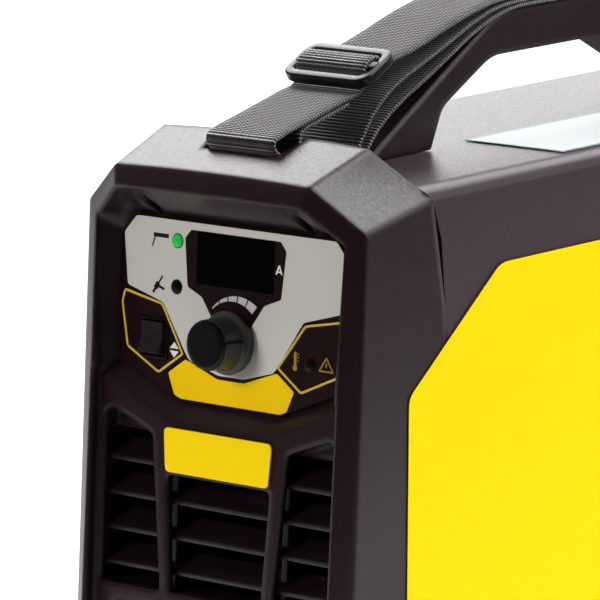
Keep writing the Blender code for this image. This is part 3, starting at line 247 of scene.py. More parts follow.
def grainFinish(name, colour, second, roughness, grainMm, depthMm, cloudMm=35, spread=0.06,
                metallic=0.0, specular=0.5, stretch=(1, 1, 1), softMm=0.0):
    # fine grain gives the bump; a slow cloud moves the colour a little; softMm rounds the shaded edges
    made, tree, shader = newMaterial(name)
    place = addNode(tree, "ShaderNodeTexCoord")
    turned = addNode(tree, "ShaderNodeMapping", Vector=place.outputs["Object"], Scale=stretch)
    grain = addNode(tree, "ShaderNodeTexNoise", Vector=turned.outputs[0], Scale=1 / (grainMm * mm),
                    Detail=grainLook["detail"], Roughness=grainLook["weight"])
    cloud = addNode(tree, "ShaderNodeTexNoise", Vector=place.outputs["Object"], Scale=1 / (cloudMm * mm),
                    Detail=grainLook["cloudDetail"])
    tone = addNode(tree, "ShaderNodeMix", {"data_type": "RGBA"}, _0=cloud.outputs["Fac"],
                   _6=linear(colour), _7=linear(second))
    tree.links.new(tone.outputs[2], shader.inputs["Base Color"])
    rough = addNode(tree, "ShaderNodeMapRange", Value=grain.outputs["Fac"], _1=grainLook["low"],
                    _2=grainLook["high"], _3=max(roughness - spread, grainLook["leastRoughness"]),
                    _4=roughness + spread)
    tree.links.new(rough.outputs[0], shader.inputs["Roughness"])
    bump = addNode(tree, "ShaderNodeBump", Height=grain.outputs["Fac"], Distance=depthMm * mm, Strength=1.0)
    tree.links.new(bump.outputs[0], shader.inputs["Normal"])
    if softMm:
        soft = addNode(tree, "ShaderNodeBevel", {"samples": grainLook["softSamples"]}, Radius=softMm * mm)
        tree.links.new(soft.outputs[0], bump.inputs["Normal"])
    setShader(shader, Metallic=metallic, Specular__IOR__Level=specular, IOR=grainLook["ior"])
    return made


# real grains, mostly under 0.3 mm, are too fine to show in the render, so they are drawn coarser

# moulded ABS, fine spark texture: brown-black, pale sheen only at grazing angles
bezelAbs = grainFinish("ABS moulded charcoal", "1e0e13", "241419", 0.34, 1.1, 0.03, specular=0.3, softMm=4.0)
# the same ABS in the slats, drawn darker as painted shade, so the tops fall to black and the front edges catch the
# light
slatAbs = grainFinish("ABS moulded slats, darkened as painted shade", "150b0e", "1b1013", 0.36, 1.2, 0.02, specular=0.45)
# polyester powder paint on sheet steel: fine orange peel that shows as a speckle
coverPaint = grainFinish("steel powder painted graphite", "2f2028", "37272f", 0.38, 1.1, 0.08, specular=0.4)
# glass filled nylon: satin black
nylon = grainFinish("PA66 moulded black", "0e0b0c", "151112", 0.34, 0.9, 0.02, specular=0.3)
# rocker caps: matt nylon, so that no lamp shows in them; drawn lighter brown than the black nylon of the switch
# bodies, as painted light on the lit face
rockerNylon = grainFinish("PA66 moulded rocker, lightened as painted light", "1e1618", "251b1e", 0.5, 0.9, 0.02, specular=0.25)
# acetal, polished tool: gives the buckle its bright rim
acetal = grainFinish("acetal moulded glossy", "0f0a0c", "150f11", 0.3, 2.0, 0.004, spread=0.03, specular=0.35)
# TPE grip of the knob: matt dark grey
knobTpe = grainFinish("TPE moulded grey", "30302e", "373735", 0.46, 0.8, 0.02, specular=0.4)
# nylon cap of the knob: nearly black, blacker than the grip
knobBlack = grainFinish("PA6 moulded knob cap", "080808", "0d0d0c", 0.38, 0.9, 0.015, specular=0.2)
# printed polyester overlay: grey or brown-black ground with a fine satin grain
overlayGrey = grainFinish("polyester film printed grey", "bebbb3", "c4c1b9", 0.48, 0.8, 0.006, cloudMm=60)
overlayBlack = grainFinish("polyester film printed black", "18090c", "1d0d10", 0.36, 0.8, 0.006, specular=0.2)
# screen inks: thin, even and half matt
inkYellow = grainFinish("screen ink yellow", "efc200", "f2c800", 0.5, 0.8, 0.005, cloudMm=60, specular=0.2)
inkOlive = grainFinish("screen ink ochre line", "c4a83a", "ccb046", 0.5, 0.8, 0.005)
inkDim = grainFinish("screen ink dark ochre", "8f7a24", "98822c", 0.5, 0.8, 0.005)
inkWhite = grainFinish("screen ink white", "dcdad6", "e2e0dc", 0.5, 0.8, 0.005)
inkGrey = grainFinish("screen ink pale grey", "b9b4b4", "c2bdbd", 0.5, 0.8, 0.005)
inkBlack = grainFinish("screen ink black", "140c0d", "1a1213", 0.5, 0.8, 0.005, specular=0.3)
inkTeal = grainFinish("screen ink turquoise", "7fb4b4", "86baba", 0.5, 1.2, 0.002, specular=0.2)
# painted ABS plate: warm yellow with a soft gloss
badgeYellow = grainFinish("ABS badge painted yellow", "fbd400", "fdd900", 0.4, 2.5, 0.004, specular=0.2)
# cast vinyl: flat strong yellow, hardly any gloss, slow change of tone
filmYellow = grainFinish("vinyl film cast yellow", "fbdc00", "fddf00", 0.45, 2.0, 0.004, cloudMm=90, spread=0.04,
                         specular=0.05)
# coated polyester label: cool near-white, half matt
labelFilm = grainFinish("polyester label film pale", "cdd2d4", "d6d9da", 0.5, 2.0, 0.002, cloudMm=50, specular=0.15)
# smoked acrylic: black and smooth, with faint reflections
screenAcrylic = grainFinish("acrylic smoked window", "020202", "030303", 0.12, 4.0, 0.001, spread=0.02, specular=0.12)
# plated and galvanised steel: pale grey metal, the sheet with a patchy spangle
steelZinc = grainFinish("steel zinc plated", "9a9da0", "a8abad", 0.34, 0.7, 0.008, metallic=1.0)
steelSheet = grainFinish("steel galvanised sheet", "83868a", "95989c", 0.42, 4.0, 0.01, cloudMm=9, metallic=1.0)
# oxide and enamel on steel: black, dull on the screws and shinier on the wire
blackScrew = grainFinish("steel black oxide", "17161a", "201f23", 0.42, 0.6, 0.01, metallic=0.7)
wireBlack = grainFinish("steel wire black enamel", "121113", "1a191b", 0.3, 0.9, 0.012)
# turned brass: yellow metal with fine tool rings
brass = grainFinish("brass turned", "b08d45", "bf9c55", 0.28, 0.6, 0.01, metallic=1.0, stretch=(1, 4, 1))
# extruded aluminium, black anodised: dark metal with draw lines along it
alloyDark = grainFinish("aluminium extruded black anodised", "141316", "1b1a1d", 0.45, 0.8, 0.015, metallic=0.5,
                        stretch=(1, 0.08, 1))
# solder mask on glass epoxy: dark green, half gloss
boardGreen = grainFinish("FR4 solder mask dark green", "0b2016", "0f2a1d", 0.35, 1.2, 0.012)
# sintered ferrite: dull, slightly rough dark grey
ferrite = grainFinish("ferrite sintered", "1b1b1d", "242426", 0.65, 1.0, 0.03)
# enamelled copper wire: brown metal, lines of the turns
copper = grainFinish("copper enamelled winding", "8a4a24", "9c5a30", 0.3, 1.1, 0.05, metallic=0.9, stretch=(1, 1, 3))
# shrunk PVC sleeve: smooth dark blue
canSleeve = grainFinish("PVC sleeve dark blue", "10131f", "161a28", 0.28, 2.0, 0.006)
# moulded rubber: dull black
rubber = grainFinish("NBR rubber moulded", "101010", "171616", 0.72, 0.9, 0.03, specular=0.3)
# smoked epoxy lens, unlit: a soft black dot
ledDark = grainFinish("epoxy lens smoked", "060404", "0a0708", 0.45, 3.0, 0.002, spread=0.02, specular=0.15)

litLens = {"glow": "1eb94b", "strength": 0.25}


def litLensFinish():
    # diffused green epoxy, lit from within, brighter than its rim
    made = grainFinish("epoxy lens green lit", "12a23f", "1bb84b", 0.3, 2.0, 0.004)
    setShader(made.node_tree.nodes["Principled BSDF"], Emission__Color=linear(litLens["glow"]),
              Emission__Strength=litLens["strength"])
    return made


ledGreen = litLensFinish()

# dark is painted shade in the troughs between the ribs; light is the yarn's own dark grey, lifted as a painted
# highlight on the crests
weave = {"ribMm": 1.5, "yarnMm": 1.15, "depthMm": 0.3, "fuzzMm": 0.8, "fuzz": 0.35, "step": math.pi / 7,
         "crown": 0.25, "beadLow": -1.0, "beadHigh": 1.4, "dark": "030202", "light": "3c3036",
         "roughness": 0.42, "specular": 0.8, "sheen": 0.8, "sheenRoughness": 0.4}


def webbingFinish():
    # woven polypropylene: weft ribs across the strap, warp yarns along it, each crossing a small bead
    made, tree, shader = newMaterial("polypropylene woven webbing black")
    place = addNode(tree, "ShaderNodeUVMap", {"uv_map": "threads"})
    part = addNode(tree, "ShaderNodeSeparateXYZ", Vector=place.outputs[0])
    along = addNode(tree, "ShaderNodeMath", {"operation": "MULTIPLY"}, _0=part.outputs[0],
                    _1=2 * math.pi / (weave["ribMm"] * mm))
    across = addNode(tree, "ShaderNodeMath", {"operation": "MULTIPLY"}, _0=part.outputs[1],
                     _1=math.pi / (weave["yarnMm"] * mm))
    yarn = addNode(tree, "ShaderNodeMath", {"operation": "SINE"}, _0=across.outputs[0])
    # neighbouring yarns are out of step: the sign of the yarn's sine moves the rib wave on or back by one step
    side = addNode(tree, "ShaderNodeMath", {"operation": "SIGN"}, _0=yarn.outputs[0])
    shift = addNode(tree, "ShaderNodeMath", {"operation": "MULTIPLY_ADD"}, _0=side.outputs[0], _1=weave["step"],
                    _2=along.outputs[0])
    rib = addNode(tree, "ShaderNodeMath", {"operation": "SINE"}, _0=shift.outputs[0])
    crown = addNode(tree, "ShaderNodeMath", {"operation": "ABSOLUTE"}, _0=yarn.outputs[0])
    bead = addNode(tree, "ShaderNodeMath", {"operation": "MULTIPLY_ADD"}, _0=crown.outputs[0],
                   _1=weave["crown"], _2=rib.outputs[0])
    height = addNode(tree, "ShaderNodeMapRange", Value=bead.outputs[0], _1=weave["beadLow"],
                     _2=weave["beadHigh"], _3=0.0, _4=1.0)
    fuzz = addNode(tree, "ShaderNodeTexNoise", Vector=place.outputs[0], Scale=1 / (weave["fuzzMm"] * mm),
                   Detail=grainLook["detail"])
    uneven = addNode(tree, "ShaderNodeMath", {"operation": "MULTIPLY_ADD"}, _0=fuzz.outputs["Fac"],
                     _1=weave["fuzz"], _2=height.outputs[0])
    # painted shade and highlight: the colour follows the bead height, from the trough shade to the lit crest
    tone = addNode(tree, "ShaderNodeMix", {"data_type": "RGBA"}, _0=height.outputs[0],
                   _6=linear(weave["dark"]), _7=linear(weave["light"]))
    tree.links.new(tone.outputs[2], shader.inputs["Base Color"])
    bump = addNode(tree, "ShaderNodeBump", Height=uneven.outputs[0], Distance=weave["depthMm"] * mm)
    tree.links.new(bump.outputs[0], shader.inputs["Normal"])
    setShader(shader, Roughness=weave["roughness"], Specular__IOR__Level=weave["specular"],
              Sheen__Weight=weave["sheen"], Sheen__Roughness=weave["sheenRoughness"])
    return made


webbing = webbingFinish()
print("finishes made:", len(bpy.data.materials))


# CAD nodes that stay: finish and edge rounding in mm

kept = {
    "front_bezel": (bezelAbs, 1.0), "rear_bezel": (bezelAbs, 1.0), "louvre_insert": (slatAbs, 0.45),
    "control_panel": (overlayBlack, 0.25), "knob_shaft": (steelZinc, 0.2), "current_pot": (steelZinc, 0.3),
    "mode_rocker": (rockerNylon, 0.5), "mode_switch_body": (nylon, 0.25), "led_stick": (ledGreen, 0.5),
    "led_tig": (ledDark, 0.5), "led_fault": (ledDark, 0.5), "badge_plate": (badgeYellow, 0.4),
    "front_screw_left": (blackScrew, 0.25), "front_screw_right": (blackScrew, 0.25),
    "socket_negative_body": (nylon, 0.5), "socket_positive_body": (nylon, 0.5),
    "socket_negative_insert": (brass, 0.25), "socket_positive_insert": (brass, 0.25),
    "control_board": (boardGreen, 0.1), "top_cover": (coverPaint, 0.35), "chassis_tray": (steelSheet, 0.3),
    "side_film_left": (filmYellow, 0.05), "side_film_right": (filmYellow, 0.05), "top_label": (labelFilm, 0.05),
    "handle": (bezelAbs, 1.4), "handle_bolt_front": (blackScrew, 0.25), "handle_bolt_rear": (blackScrew, 0.25),
    "strap_bar_front": (steelZinc, 0.3), "strap_bar_rear": (steelZinc, 0.3), "fan_guard": (wireBlack, 0.3),
    "fan_frame": (nylon, 0.4), "fan_rotor": (nylon, 0.3), "power_switch_body": (nylon, 0.35),
    "power_rocker": (rockerNylon, 0.5), "gland_body": (nylon, 0.4), "gland_nut": (nylon, 0.5),
    "main_board": (boardGreen, 0.1), "heat_sink_left": (alloyDark, 0.2), "heat_sink_right": (alloyDark, 0.2),
    "transformer_core": (ferrite, 0.6), "transformer_winding": (copper, 0.5), "output_choke": (ferrite, 0.5),
    "bulk_capacitor_1": (canSleeve, 0.6), "bulk_capacitor_2": (canSleeve, 0.6), "bulk_capacitor_3": (canSleeve, 0.6),
    "foot_front_left": (rubber, 0.8), "foot_front_right": (rubber, 0.8), "foot_rear_left": (rubber, 0.8),
    "foot_rear_right": (rubber, 0.8)}
edging = {"weldMm": 0.002, "segments": 3, "angle": 24, "faceWeight": 100}


def dressNode(name, material, roundMm):
    # weld the loose facets, round the edges, then let large faces keep their own normal so they shade flat
    shown = nodes[name]
    shown.data.materials.clear()
    shown.data.materials.append(material)
    shown.data.polygons.foreach_set("use_smooth", [True] * len(shown.data.polygons))
    weld = shown.modifiers.new("weld", "WELD")
    weld.merge_threshold = edging["weldMm"] * mm
    edge = shown.modifiers.new("edge", "BEVEL")
    edge.width, edge.segments, edge.limit_method = roundMm * mm, edging["segments"], "ANGLE"
    edge.angle_limit, edge.use_clamp_overlap = math.radians(edging["angle"]), True
    edge.miter_outer = "MITER_ARC"
    shade = shown.modifiers.new("shade", "WEIGHTED_NORMAL")
    shade.mode, shade.weight = "FACE_AREA", edging["faceWeight"]


for nodeName, (finish, roundMm) in kept.items():
    dressNode(nodeName, finish, roundMm)
print("CAD nodes dressed:", len(kept))


# border printed on the top label

labelBorder = {"width": 1.3, "proud": 0.06}


def addLabelBorder():
    # four rings of four corners make a flat band: outer low, outer high, inner high, inner low
    co = nodePoints("top_label") / mm
    (left, near, _), (right, far, top) = co.min(0), co.max(0)
    inner, high = labelBorder["width"], top + labelBorder["proud"]
    rings = [np.array([(left + edge, near + edge, z), (right - edge, near + edge, z),
                       (right - edge, far - edge, z), (left + edge, far - edge, z)])
             for edge, z in ((0, top), (0, high), (inner, high), (inner, top))]
    addPiece("labelBorderPrint", np.concatenate(rings) * mm, gridFaces(4, 4, True, True).tolist(), inkTeal,
             "case", smooth=False)


addLabelBorder()
print("label border placed")


# panel print

# lean is the panel's slope, film and print are layer thicknesses, lineProud is the height of the raised lines
panel = {"lean": 0.08, "film": 0.12, "print": 0.08, "lineProud": 0.45, "knobAt": (0.0, 177.0)}
panelCo = nodePoints("control_panel")
panelFront = (panelCo[:, 1] - panel["lean"] * panelCo[:, 2]).min()  # y of the front plane at z = 0
panelNormal = Vector((0, -1, panel["lean"])).normalized()
filmTop = panel["film"]
inkTop = filmTop + panel["print"]
markTop = inkTop + panel["print"]


def onPanel(flat, lift):
    # x, z in mm on the panel's front plane, raised by lift mm along its normal
    flat = np.atleast_2d(np.asarray(flat, float)) * mm
    base = np.stack([flat[:, 0], panelFront + panel["lean"] * flat[:, 1], flat[:, 1]], -1)
    return base + np.array(panelNormal) * lift * mm


def softCorners(points, radius, steps=5, most=0.48):
    # each corner becomes a quadratic curve between points up to radius away, at most that share of an edge
    p = np.asarray(points, float)
    before, after = np.roll(p, 1, 0) - p, np.roll(p, -1, 0) - p
    reach = [np.minimum(radius, np.linalg.norm(e, axis=1) * most)[:, None] for e in (before, after)]
    a = p + before / np.linalg.norm(before, axis=1)[:, None] * reach[0]
    b = p + after / np.linalg.norm(after, axis=1)[:, None] * reach[1]
    u = np.linspace(0, 1, steps)[None, :, None]
    return ((1 - u) ** 2 * a[:, None] + 2 * u * (1 - u) * p[:, None] + u ** 2 * b[:, None]).reshape(-1, 2)


def anticlockwise(points):
    # turned round where the sum of the cross products, twice the area, is negative
    p = np.asarray(points, float)
    q = np.roll(p, -1, 0)
    return p if np.sum(p[:, 0] * q[:, 1] - q[:, 0] * p[:, 1]) > 0 else p[::-1]


def inset(points, width):
    # each corner moves along the mitre of its two edges' inward normals
    p = anticlockwise(points)
    edge = np.roll(p, -1, 0) - p
    normal = np.stack([-edge[:, 1], edge[:, 0]], -1) / np.linalg.norm(edge, axis=1)[:, None]
    last = np.roll(normal, 1, 0)
    return p + (normal + last) / (1 + np.sum(normal * last, 1))[:, None] * width


def stroke(start, end, width):
    # a straight line of that width as a four-cornered outline
    a, b = np.asarray(start, float), np.asarray(end, float)
    along = (b - a) / np.linalg.norm(b - a)
    side = np.array([-along[1], along[0]]) * width / 2
    return [a - side, b - side, b + side, a + side]


def mirrored(right):
    # the right half of an outline, then its mirror image backwards
    return right + [(-x, z) for x, z in reversed(right)]


def printPiece(name, outlines, low, high, material, rings=()):
    # every outline is a thin closed plate from low to high mm; a ring is the band from an outline to its inset
    points, faces, start = [], [], 0
    for outline in outlines:
        ring = anticlockwise(outline)
        count = len(ring)
        points += [onPanel(ring, low), onPanel(ring, high)]
        faces += (gridFaces(2, count, closeCols=True) + start).tolist()
        faces += [list(range(start + count, start + 2 * count)), list(range(start + count - 1, start - 1, -1))]
        start += 2 * count
    for outer, width in rings:
        inner = inset(outer, width)
        outer = anticlockwise(outer)
        count = len(outer)
        points += [onPanel(outer, low), onPanel(outer, high), onPanel(inner, high), onPanel(inner, low)]
        faces += (gridFaces(4, count, True, True) + start).tolist()
        start += 4 * count
    return addPiece(name, np.concatenate(points), faces, material, "case", smooth=False)


# outlines as x, z on the panel; grey, surround and band are right halves; letterRoom widens the surround's right
films = {"grey": [(55.4, 224.3), (62.0, 216.8), (59.4, 195.0), (54.9, 193.7), (39.0, 189.4), (25.6, 169.4),
                  (23.2, 166.7), (7.0, 162.3)], "greyCorner": 1.2,
         "surround": [(24.3, 221.2), (27.6, 217.4), (25.5, 197.4), (17.3, 193.9), (11.2, 185.4), (9.0, 181.0)],
         "surroundCorner": 0.8, "letterRoom": 0.9, "letterFrom": 20,
         "window": [(-20.7, 199.2), (22.3, 199.2), (22.3, 220.8), (-20.7, 220.8)], "windowCorner": 0.5,
         "lamps": [(-31.8, 215.8), (-31.6, 196.6), (43.1, 172.5)], "lampRim": 3.15, "rimWidth": 0.5, "rimSteps": 48,
         "band": [(7.3, 160.7), (25.4, 167.0), (35.0, 160.4), (31.2, 151.6), (27.6, 150.3)], "bandCorner": 0.9}


def addFilms():
    grey = softCorners(mirrored(films["grey"]), films["greyCorner"])
    printPiece("panelGreyFilm", [grey], 0, filmTop, overlayGrey)
    surround = np.array(mirrored(films["surround"]))
    surround[surround[:, 0] > films["letterFrom"], 0] += films["letterRoom"]
    printPiece("panelDisplaySurround", [softCorners(surround, films["surroundCorner"])], filmTop, inkTop,
               overlayBlack)
    window = softCorners(films["window"], films["windowCorner"])
    glass = printPiece("displayWindow", [window], filmTop, markTop, screenAcrylic)
    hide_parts("display_window")
    angle = np.linspace(0, 2 * np.pi, films["rimSteps"], endpoint=False)
    rim = np.stack([np.cos(angle), np.sin(angle)], -1) * films["lampRim"]
    printPiece("panelLampRims", [], filmTop, inkTop, inkBlack,
               rings=[(rim + lamp, films["rimWidth"]) for lamp in films["lamps"]])
    band = softCorners(mirrored(films["band"]), films["bandCorner"])
    printPiece("panelYellowBand", [band], 0, filmTop, inkYellow)


# strokes are start, end and width
marks = {"hexagons": [[(-60.8, 193.2), (-62.4, 187.7), (-58.6, 168.9), (-40.2, 159.5), (-26.3, 169.0),
                       (-38.9, 189.2)],
                      [(60.6, 192.4), (40.0, 188.5), (25.4, 169.3), (39.0, 160.0), (58.4, 168.4), (62.4, 187.0)]],
         "hexagonCorner": 1.4, "hexagonLine": 0.95,
         "stem": ((35.4, 171.4), (35.4, 177.2), 1.4), "stemCorner": 0.65,
         "bulb": [(33.7, 170.6), (35.4, 168.9), (37.1, 170.6), (35.4, 172.3)], "bulbCorner": 1.1,
         "ticks": [((36.5, z), (37.5, z), 0.45) for z in (173.6, 175.0, 176.4)],
         "pin": ((52.3, 172.6), (52.3, 174.4), 0.7), "pinCorner": 0.3,
         "triangle": [(52.3, 177.0), (48.0, 170.6), (56.6, 170.6)], "triangleCorner": 0.7, "triangleLine": 0.6,
         "arrows": [[(-32.0, 173.6), (-34.5, 170.8), (-29.4, 170.8)],
                    [(-34.5, 169.8), (-32.0, 167.0), (-29.4, 169.8)]],
         "letter": [((23.3, 207.6), (24.9, 211.4), 0.7), ((26.5, 207.6), (24.9, 211.4), 0.7),
                    ((24.0, 208.7), (25.8, 208.7), 0.6)],
         "holder": [((-45.4, 217.2), (-36.9, 217.2), 1.7), ((-44.4, 216.8), (-46.1, 212.2), 0.6)],
         "torch": [((-39.6, 200.4), (-42.4, 196.6), 0.8), ((-41.9, 197.4), (-43.6, 194.9), 2.3),
                   ((-43.4, 195.2), (-44.9, 193.0), 1.2), ((-42.0, 196.0), (-38.6, 194.9), 1.1)]}


def addLines():
    printPiece("panelYellowLines", [], 0, panel["lineProud"], inkOlive,
               rings=[(softCorners(side, marks["hexagonCorner"]), marks["hexagonLine"])
                      for side in marks["hexagons"]])
    heat = [softCorners(stroke(*marks["stem"]), marks["stemCorner"]),
            softCorners(marks["bulb"], marks["bulbCorner"])]
    heat += [stroke(*tick) for tick in marks["ticks"]]
    heat += [softCorners(stroke(*marks["pin"]), marks["pinCorner"])]
    fault = softCorners(marks["triangle"], marks["triangleCorner"])
    printPiece("panelHeatMarks", heat, 0, panel["lineProud"], inkDim,
               rings=[(fault, marks["triangleLine"])])


# angles in degrees from the right, radii in mm; every wedge has that many points on its rim
dial = {"from": 131, "to": 48, "inner": 16.9, "outerFrom": 17.3, "outerTo": 21.0, "wedges": 5, "wedgePoints": 8}


def addDialScale():
    # rising scale round the knob: inner radius fixed, outer radius grows with the angle
    count = dial["wedges"] * dial["wedgePoints"]
    turn = np.radians(np.linspace(dial["from"], dial["to"], count + 1))
    outer = np.linspace(dial["outerFrom"], dial["outerTo"], count + 1)
    way = np.stack([np.cos(turn), np.sin(turn)], -1)
    rim = np.array(panel["knobAt"]) + way * outer[:, None]
    root = np.array(panel["knobAt"]) + way * dial["inner"]
    picks = [slice(first, first + dial["wedgePoints"]) for first in range(0, count, dial["wedgePoints"])]
    wedges = [np.concatenate([rim[pick], root[pick][::-1]]) for pick in picks]
    printPiece("panelDialScale", wedges, inkTop, markTop, inkGrey)


def addMarks():
    printPiece("panelWhiteMarks", marks["arrows"], 0, filmTop, inkWhite)
    printPiece("panelUnitLetter", [stroke(*line) for line in marks["letter"]], inkTop, markTop, inkWhite)
    addDialScale()
    icons = [stroke(*line) for line in marks["holder"] + marks["torch"]]
    printPiece("panelBlackIcons", icons, filmTop, inkTop, inkBlack)


addFilms()
addLines()
addMarks()
print("panel print placed")


# knob

# profiles as radius and height: foot from the panel side, shoulder and capFoot from the split, capTop from the top
knob = {"segments": 288, "grooves": 4, "grooveDepth": 1.2, "grooveWidth": 0.06, "grooveTurn": 13.0,
        "grooveFrom": 5.0, "groovePast": 0.1, "capProud": 0.6, "capThick": 1.9,
        "foot": [(3.2, 0), (12.3, 0), (12.9, 0.4), (13.25, 2.4), (13.3, 3.0), (13.1, 3.6), (12.4, 4.1), (11.5, 4.4),
                 (11.1, 4.8), (11.0, 5.2), (10.95, 5.25)],
        "shoulder": [(10.7, -0.5), (10.65, -0.45), (10.4, -0.1), (9.9, 0), (3.2, 0)],
        "capFoot": [(3.2, 0.05), (9.8, 0.05), (10.2, 0.25), (10.4, 0.5)],
        "capTop": [(10.35, -1.0), (10.1, -0.5), (9.6, -0.15), (8.8, -0.02), (7.5, 0), (0.4, -0.1)],
        "easeMm": 0.12, "easeSegments": 2, "easeAngle": 35}


def turnedPiece(name, profile, material, replaced, grooveSpan=None):
    # profile of (radius, height) turned about the panel normal; grooves dip the radius by a bell curve in angle
    theta = np.linspace(0, 2 * np.pi, knob["segments"], endpoint=False)[None, :]
    radius = np.repeat(profile[:, :1], theta.shape[1], 1)
    if grooveSpan:
        pitch = 2 * np.pi / knob["grooves"]
        offset = (theta - math.radians(knob["grooveTurn"]) + pitch / 2) % pitch - pitch / 2
        inside = ((profile[:, 1] > grooveSpan[0]) & (profile[:, 1] < grooveSpan[1]))[:, None]
        radius = radius - inside * knob["grooveDepth"] * np.exp(-(offset / knob["grooveWidth"]) ** 2)
    height = np.repeat(profile[:, 1:], theta.shape[1], 1)
    side = np.array([1.0, 0, 0])
    axis = np.array(panelNormal)
    up = np.cross(side, -axis)
    centre = onPanel(panel["knobAt"], 0)[0]
    points = centre + (side * (radius * np.cos(theta))[..., None] + up * (radius * np.sin(theta))[..., None]
                       + axis * height[..., None]) * mm
    rows, cols = radius.shape
    faces = gridFaces(rows, cols, closeCols=True).tolist()
    faces += [list(range(cols - 1, -1, -1)), list(range((rows - 1) * cols, rows * cols))]
    made = addPiece(name, points.reshape(-1, 3), faces, material, "knob", replaced)
    ease = made.modifiers.new("ease", "BEVEL")
    ease.width, ease.segments, ease.limit_method = knob["easeMm"] * mm, knob["easeSegments"], "ANGLE"
    ease.angle_limit, ease.harden_normals = math.radians(knob["easeAngle"]), True


def addKnob():
    # the grip and the cap share the CAD knob's height, measured along the panel normal
    reach = (nodePoints("current_knob") - onPanel(panel["knobAt"], 0)[0]) @ np.array(panelNormal) / mm
    low, high = reach.min(), reach.max()
    print("knob from", round(low, 2), "to", round(high, 2), "mm over the panel")
    high += knob["capProud"]
    split = high - knob["capThick"]
    foot, shoulder, capFoot, capTop = (
        np.array(knob[part], float) + (0, level)
        for part, level in (("foot", low), ("shoulder", split), ("capFoot", split), ("capTop", high)))
    turnedPiece("knobGrip", np.concatenate([foot, shoulder]), knobTpe, ("current_knob",),
                (low + knob["grooveFrom"], split + knob["groovePast"]))
    turnedPiece("knobCap", np.concatenate([capFoot, capTop]), knobBlack, ())


addKnob()


# shoulder strap

# depth runs back from the front end, rise runs up from the cover, buckle is its centre in those two
strap = {"length": 440.0, "coverTop": 244.0, "width": 38.0, "thick": 1.6, "gripTop": 54.0, "gripGap": 0.6,
         "layerGap": 0.5, "barRadius": 2.5, "barGap": 0.5, "barDepth": 46.0, "barRise": 7.0, "barSteps": 7,
         "upperSpread": 0.6, "middleSpread": 0.2,  # each point of a run is that much further back than the last
         "buckle": (97.0, 39.0), "buckleAngle": 27.0, "cols": 10, "edgeSteps": 3, "curveSteps": 16,
         "ribMm": 1.5, "ribSamples": 4, "ribDepth": 0.2}


def strapRoute():
    # the CAD strap's route with a higher loop over the buckle's middle bar:
    # front bar, buckle, over the grip, folded back twice, rear bar
    first = strap["gripTop"] + strap["gripGap"] + strap["thick"] / 2
    step = strap["thick"] + strap["layerGap"]
    length, mid = strap["length"], strap["length"] / 2
    turn = math.radians(strap["buckleAngle"])
    s, n = np.array([(-12.6, -3.2), (-9.75, -2.95), (-7.2, -2.2), (-6.1, 1.0), (-4.5, 3.5), (-2.2, 4.55), (0, 4.75),
                     (2.2, 4.55), (4.5, 3.5), (6.1, 1.0), (7.2, -2.2), (9.75, -2.95), (12.6, -3.2)]).T
    through = np.stack([strap["buckle"][0] + s * math.cos(turn) - n * math.sin(turn),
                        strap["buckle"][1] + s * math.sin(turn) + n * math.cos(turn)], -1)
    angle = np.radians(np.linspace(0, -180, strap["barSteps"]))
    wrap = strap["barRadius"] + strap["thick"] / 2 + strap["barGap"]
    bar = np.stack([strap["barDepth"] + wrap * np.cos(angle), strap["barRise"] + wrap * np.sin(angle)], -1)
    run = np.array([(mid, 0), (length - 188, -0.1), (length - 175, -1.2), (length - 162, -4.4),
                    (length - 128, -13.4), (length - 92, -22.8)])
    order = np.arange(len(run))[:, None]
    upperRun = run + np.concatenate([order * strap["upperSpread"], 0 * order + first + 2 * step], 1)
    middleRun = (run + np.concatenate([order * strap["middleSpread"], 0 * order + first + step], 1))[::-1]
    lowerRun = run + np.array([0, first])
    fold = np.array([length - 83, first + step * 1.5 - 25.2])
    parts = [[(81, 26.9), (70.5, 24.3), (60.5, 21.9), (54, 20.1), (50.6, 17.4), (49.9, 12.5)], bar,
             [(38.4, 10.6), (35, 13.6), (34.8, 16.8), (39, 18.9), (54, 22.6), (70, 26.5), (80, 29)], through,
             [(120, 44), (133, 47.6), (147, 52), (163, 56.2), (180, first + step * 2 - 0.4)], upperRun,
             [fold + (0, step / 2), fold + (1.6, -0.4), fold - (0, step / 2)], middleRun,
             [(180, first + step - 1.2), (163, 51.6), (147, 45.2), (133, 39.6), (118, 34), (106, 28), (97, 20.8),
              (90.4, 12.6), (86.6, 6.4), (87.6, 3.6), (91.4, 5.4), (98, 12.4), (106.5, 19), (118, 25.4),
              (133, 32.4), (147, 39.4), (163, 47.2), (180, first - 2.2), (192, first - 0.2)], lowerRun,
             [(length - 54, 22.6), (length - 39, 18.9), (length - 34.8, 16.8), (length - 35, 13.6),
              (length - 38.4, 10.6)], (bar * (-1, 1) + (length, 0))[::-1],
             [(length - 51.5, 11), (length - 54, 14.5)]]
    return np.concatenate([np.asarray(part, float) for part in parts])


def smoothRoute(points, steps):
    # centripetal curve through the points: knots are the square roots of the chord lengths
    p = np.concatenate([points[:1] * 2 - points[1:2], points, points[-1:] * 2 - points[-2:-1]])
    a, b, c, d = p[:-3, None], p[1:-2, None], p[2:-1, None], p[3:, None]
    gap = [np.sqrt(np.linalg.norm(e, axis=2, keepdims=True)) for e in (b - a, c - b, d - c)]
    t1 = gap[0]
    t2 = t1 + gap[1]
    t3 = t2 + gap[2]
    t = t1 + (t2 - t1) * np.linspace(0, 1, steps, endpoint=False)[None, :, None]
    p1, p2, p3 = a + (b - a) * t / t1, b + (c - b) * (t - t1) / (t2 - t1), c + (d - c) * (t - t2) / (t3 - t2)
    q1, q2 = p1 + (p2 - p1) * t / t2, p2 + (p3 - p2) * (t - t1) / (t3 - t1)
    curve = (q1 + (q2 - q1) * (t - t1) / (t2 - t1)).reshape(-1, 2)
    return np.concatenate([curve, points[-1:]])


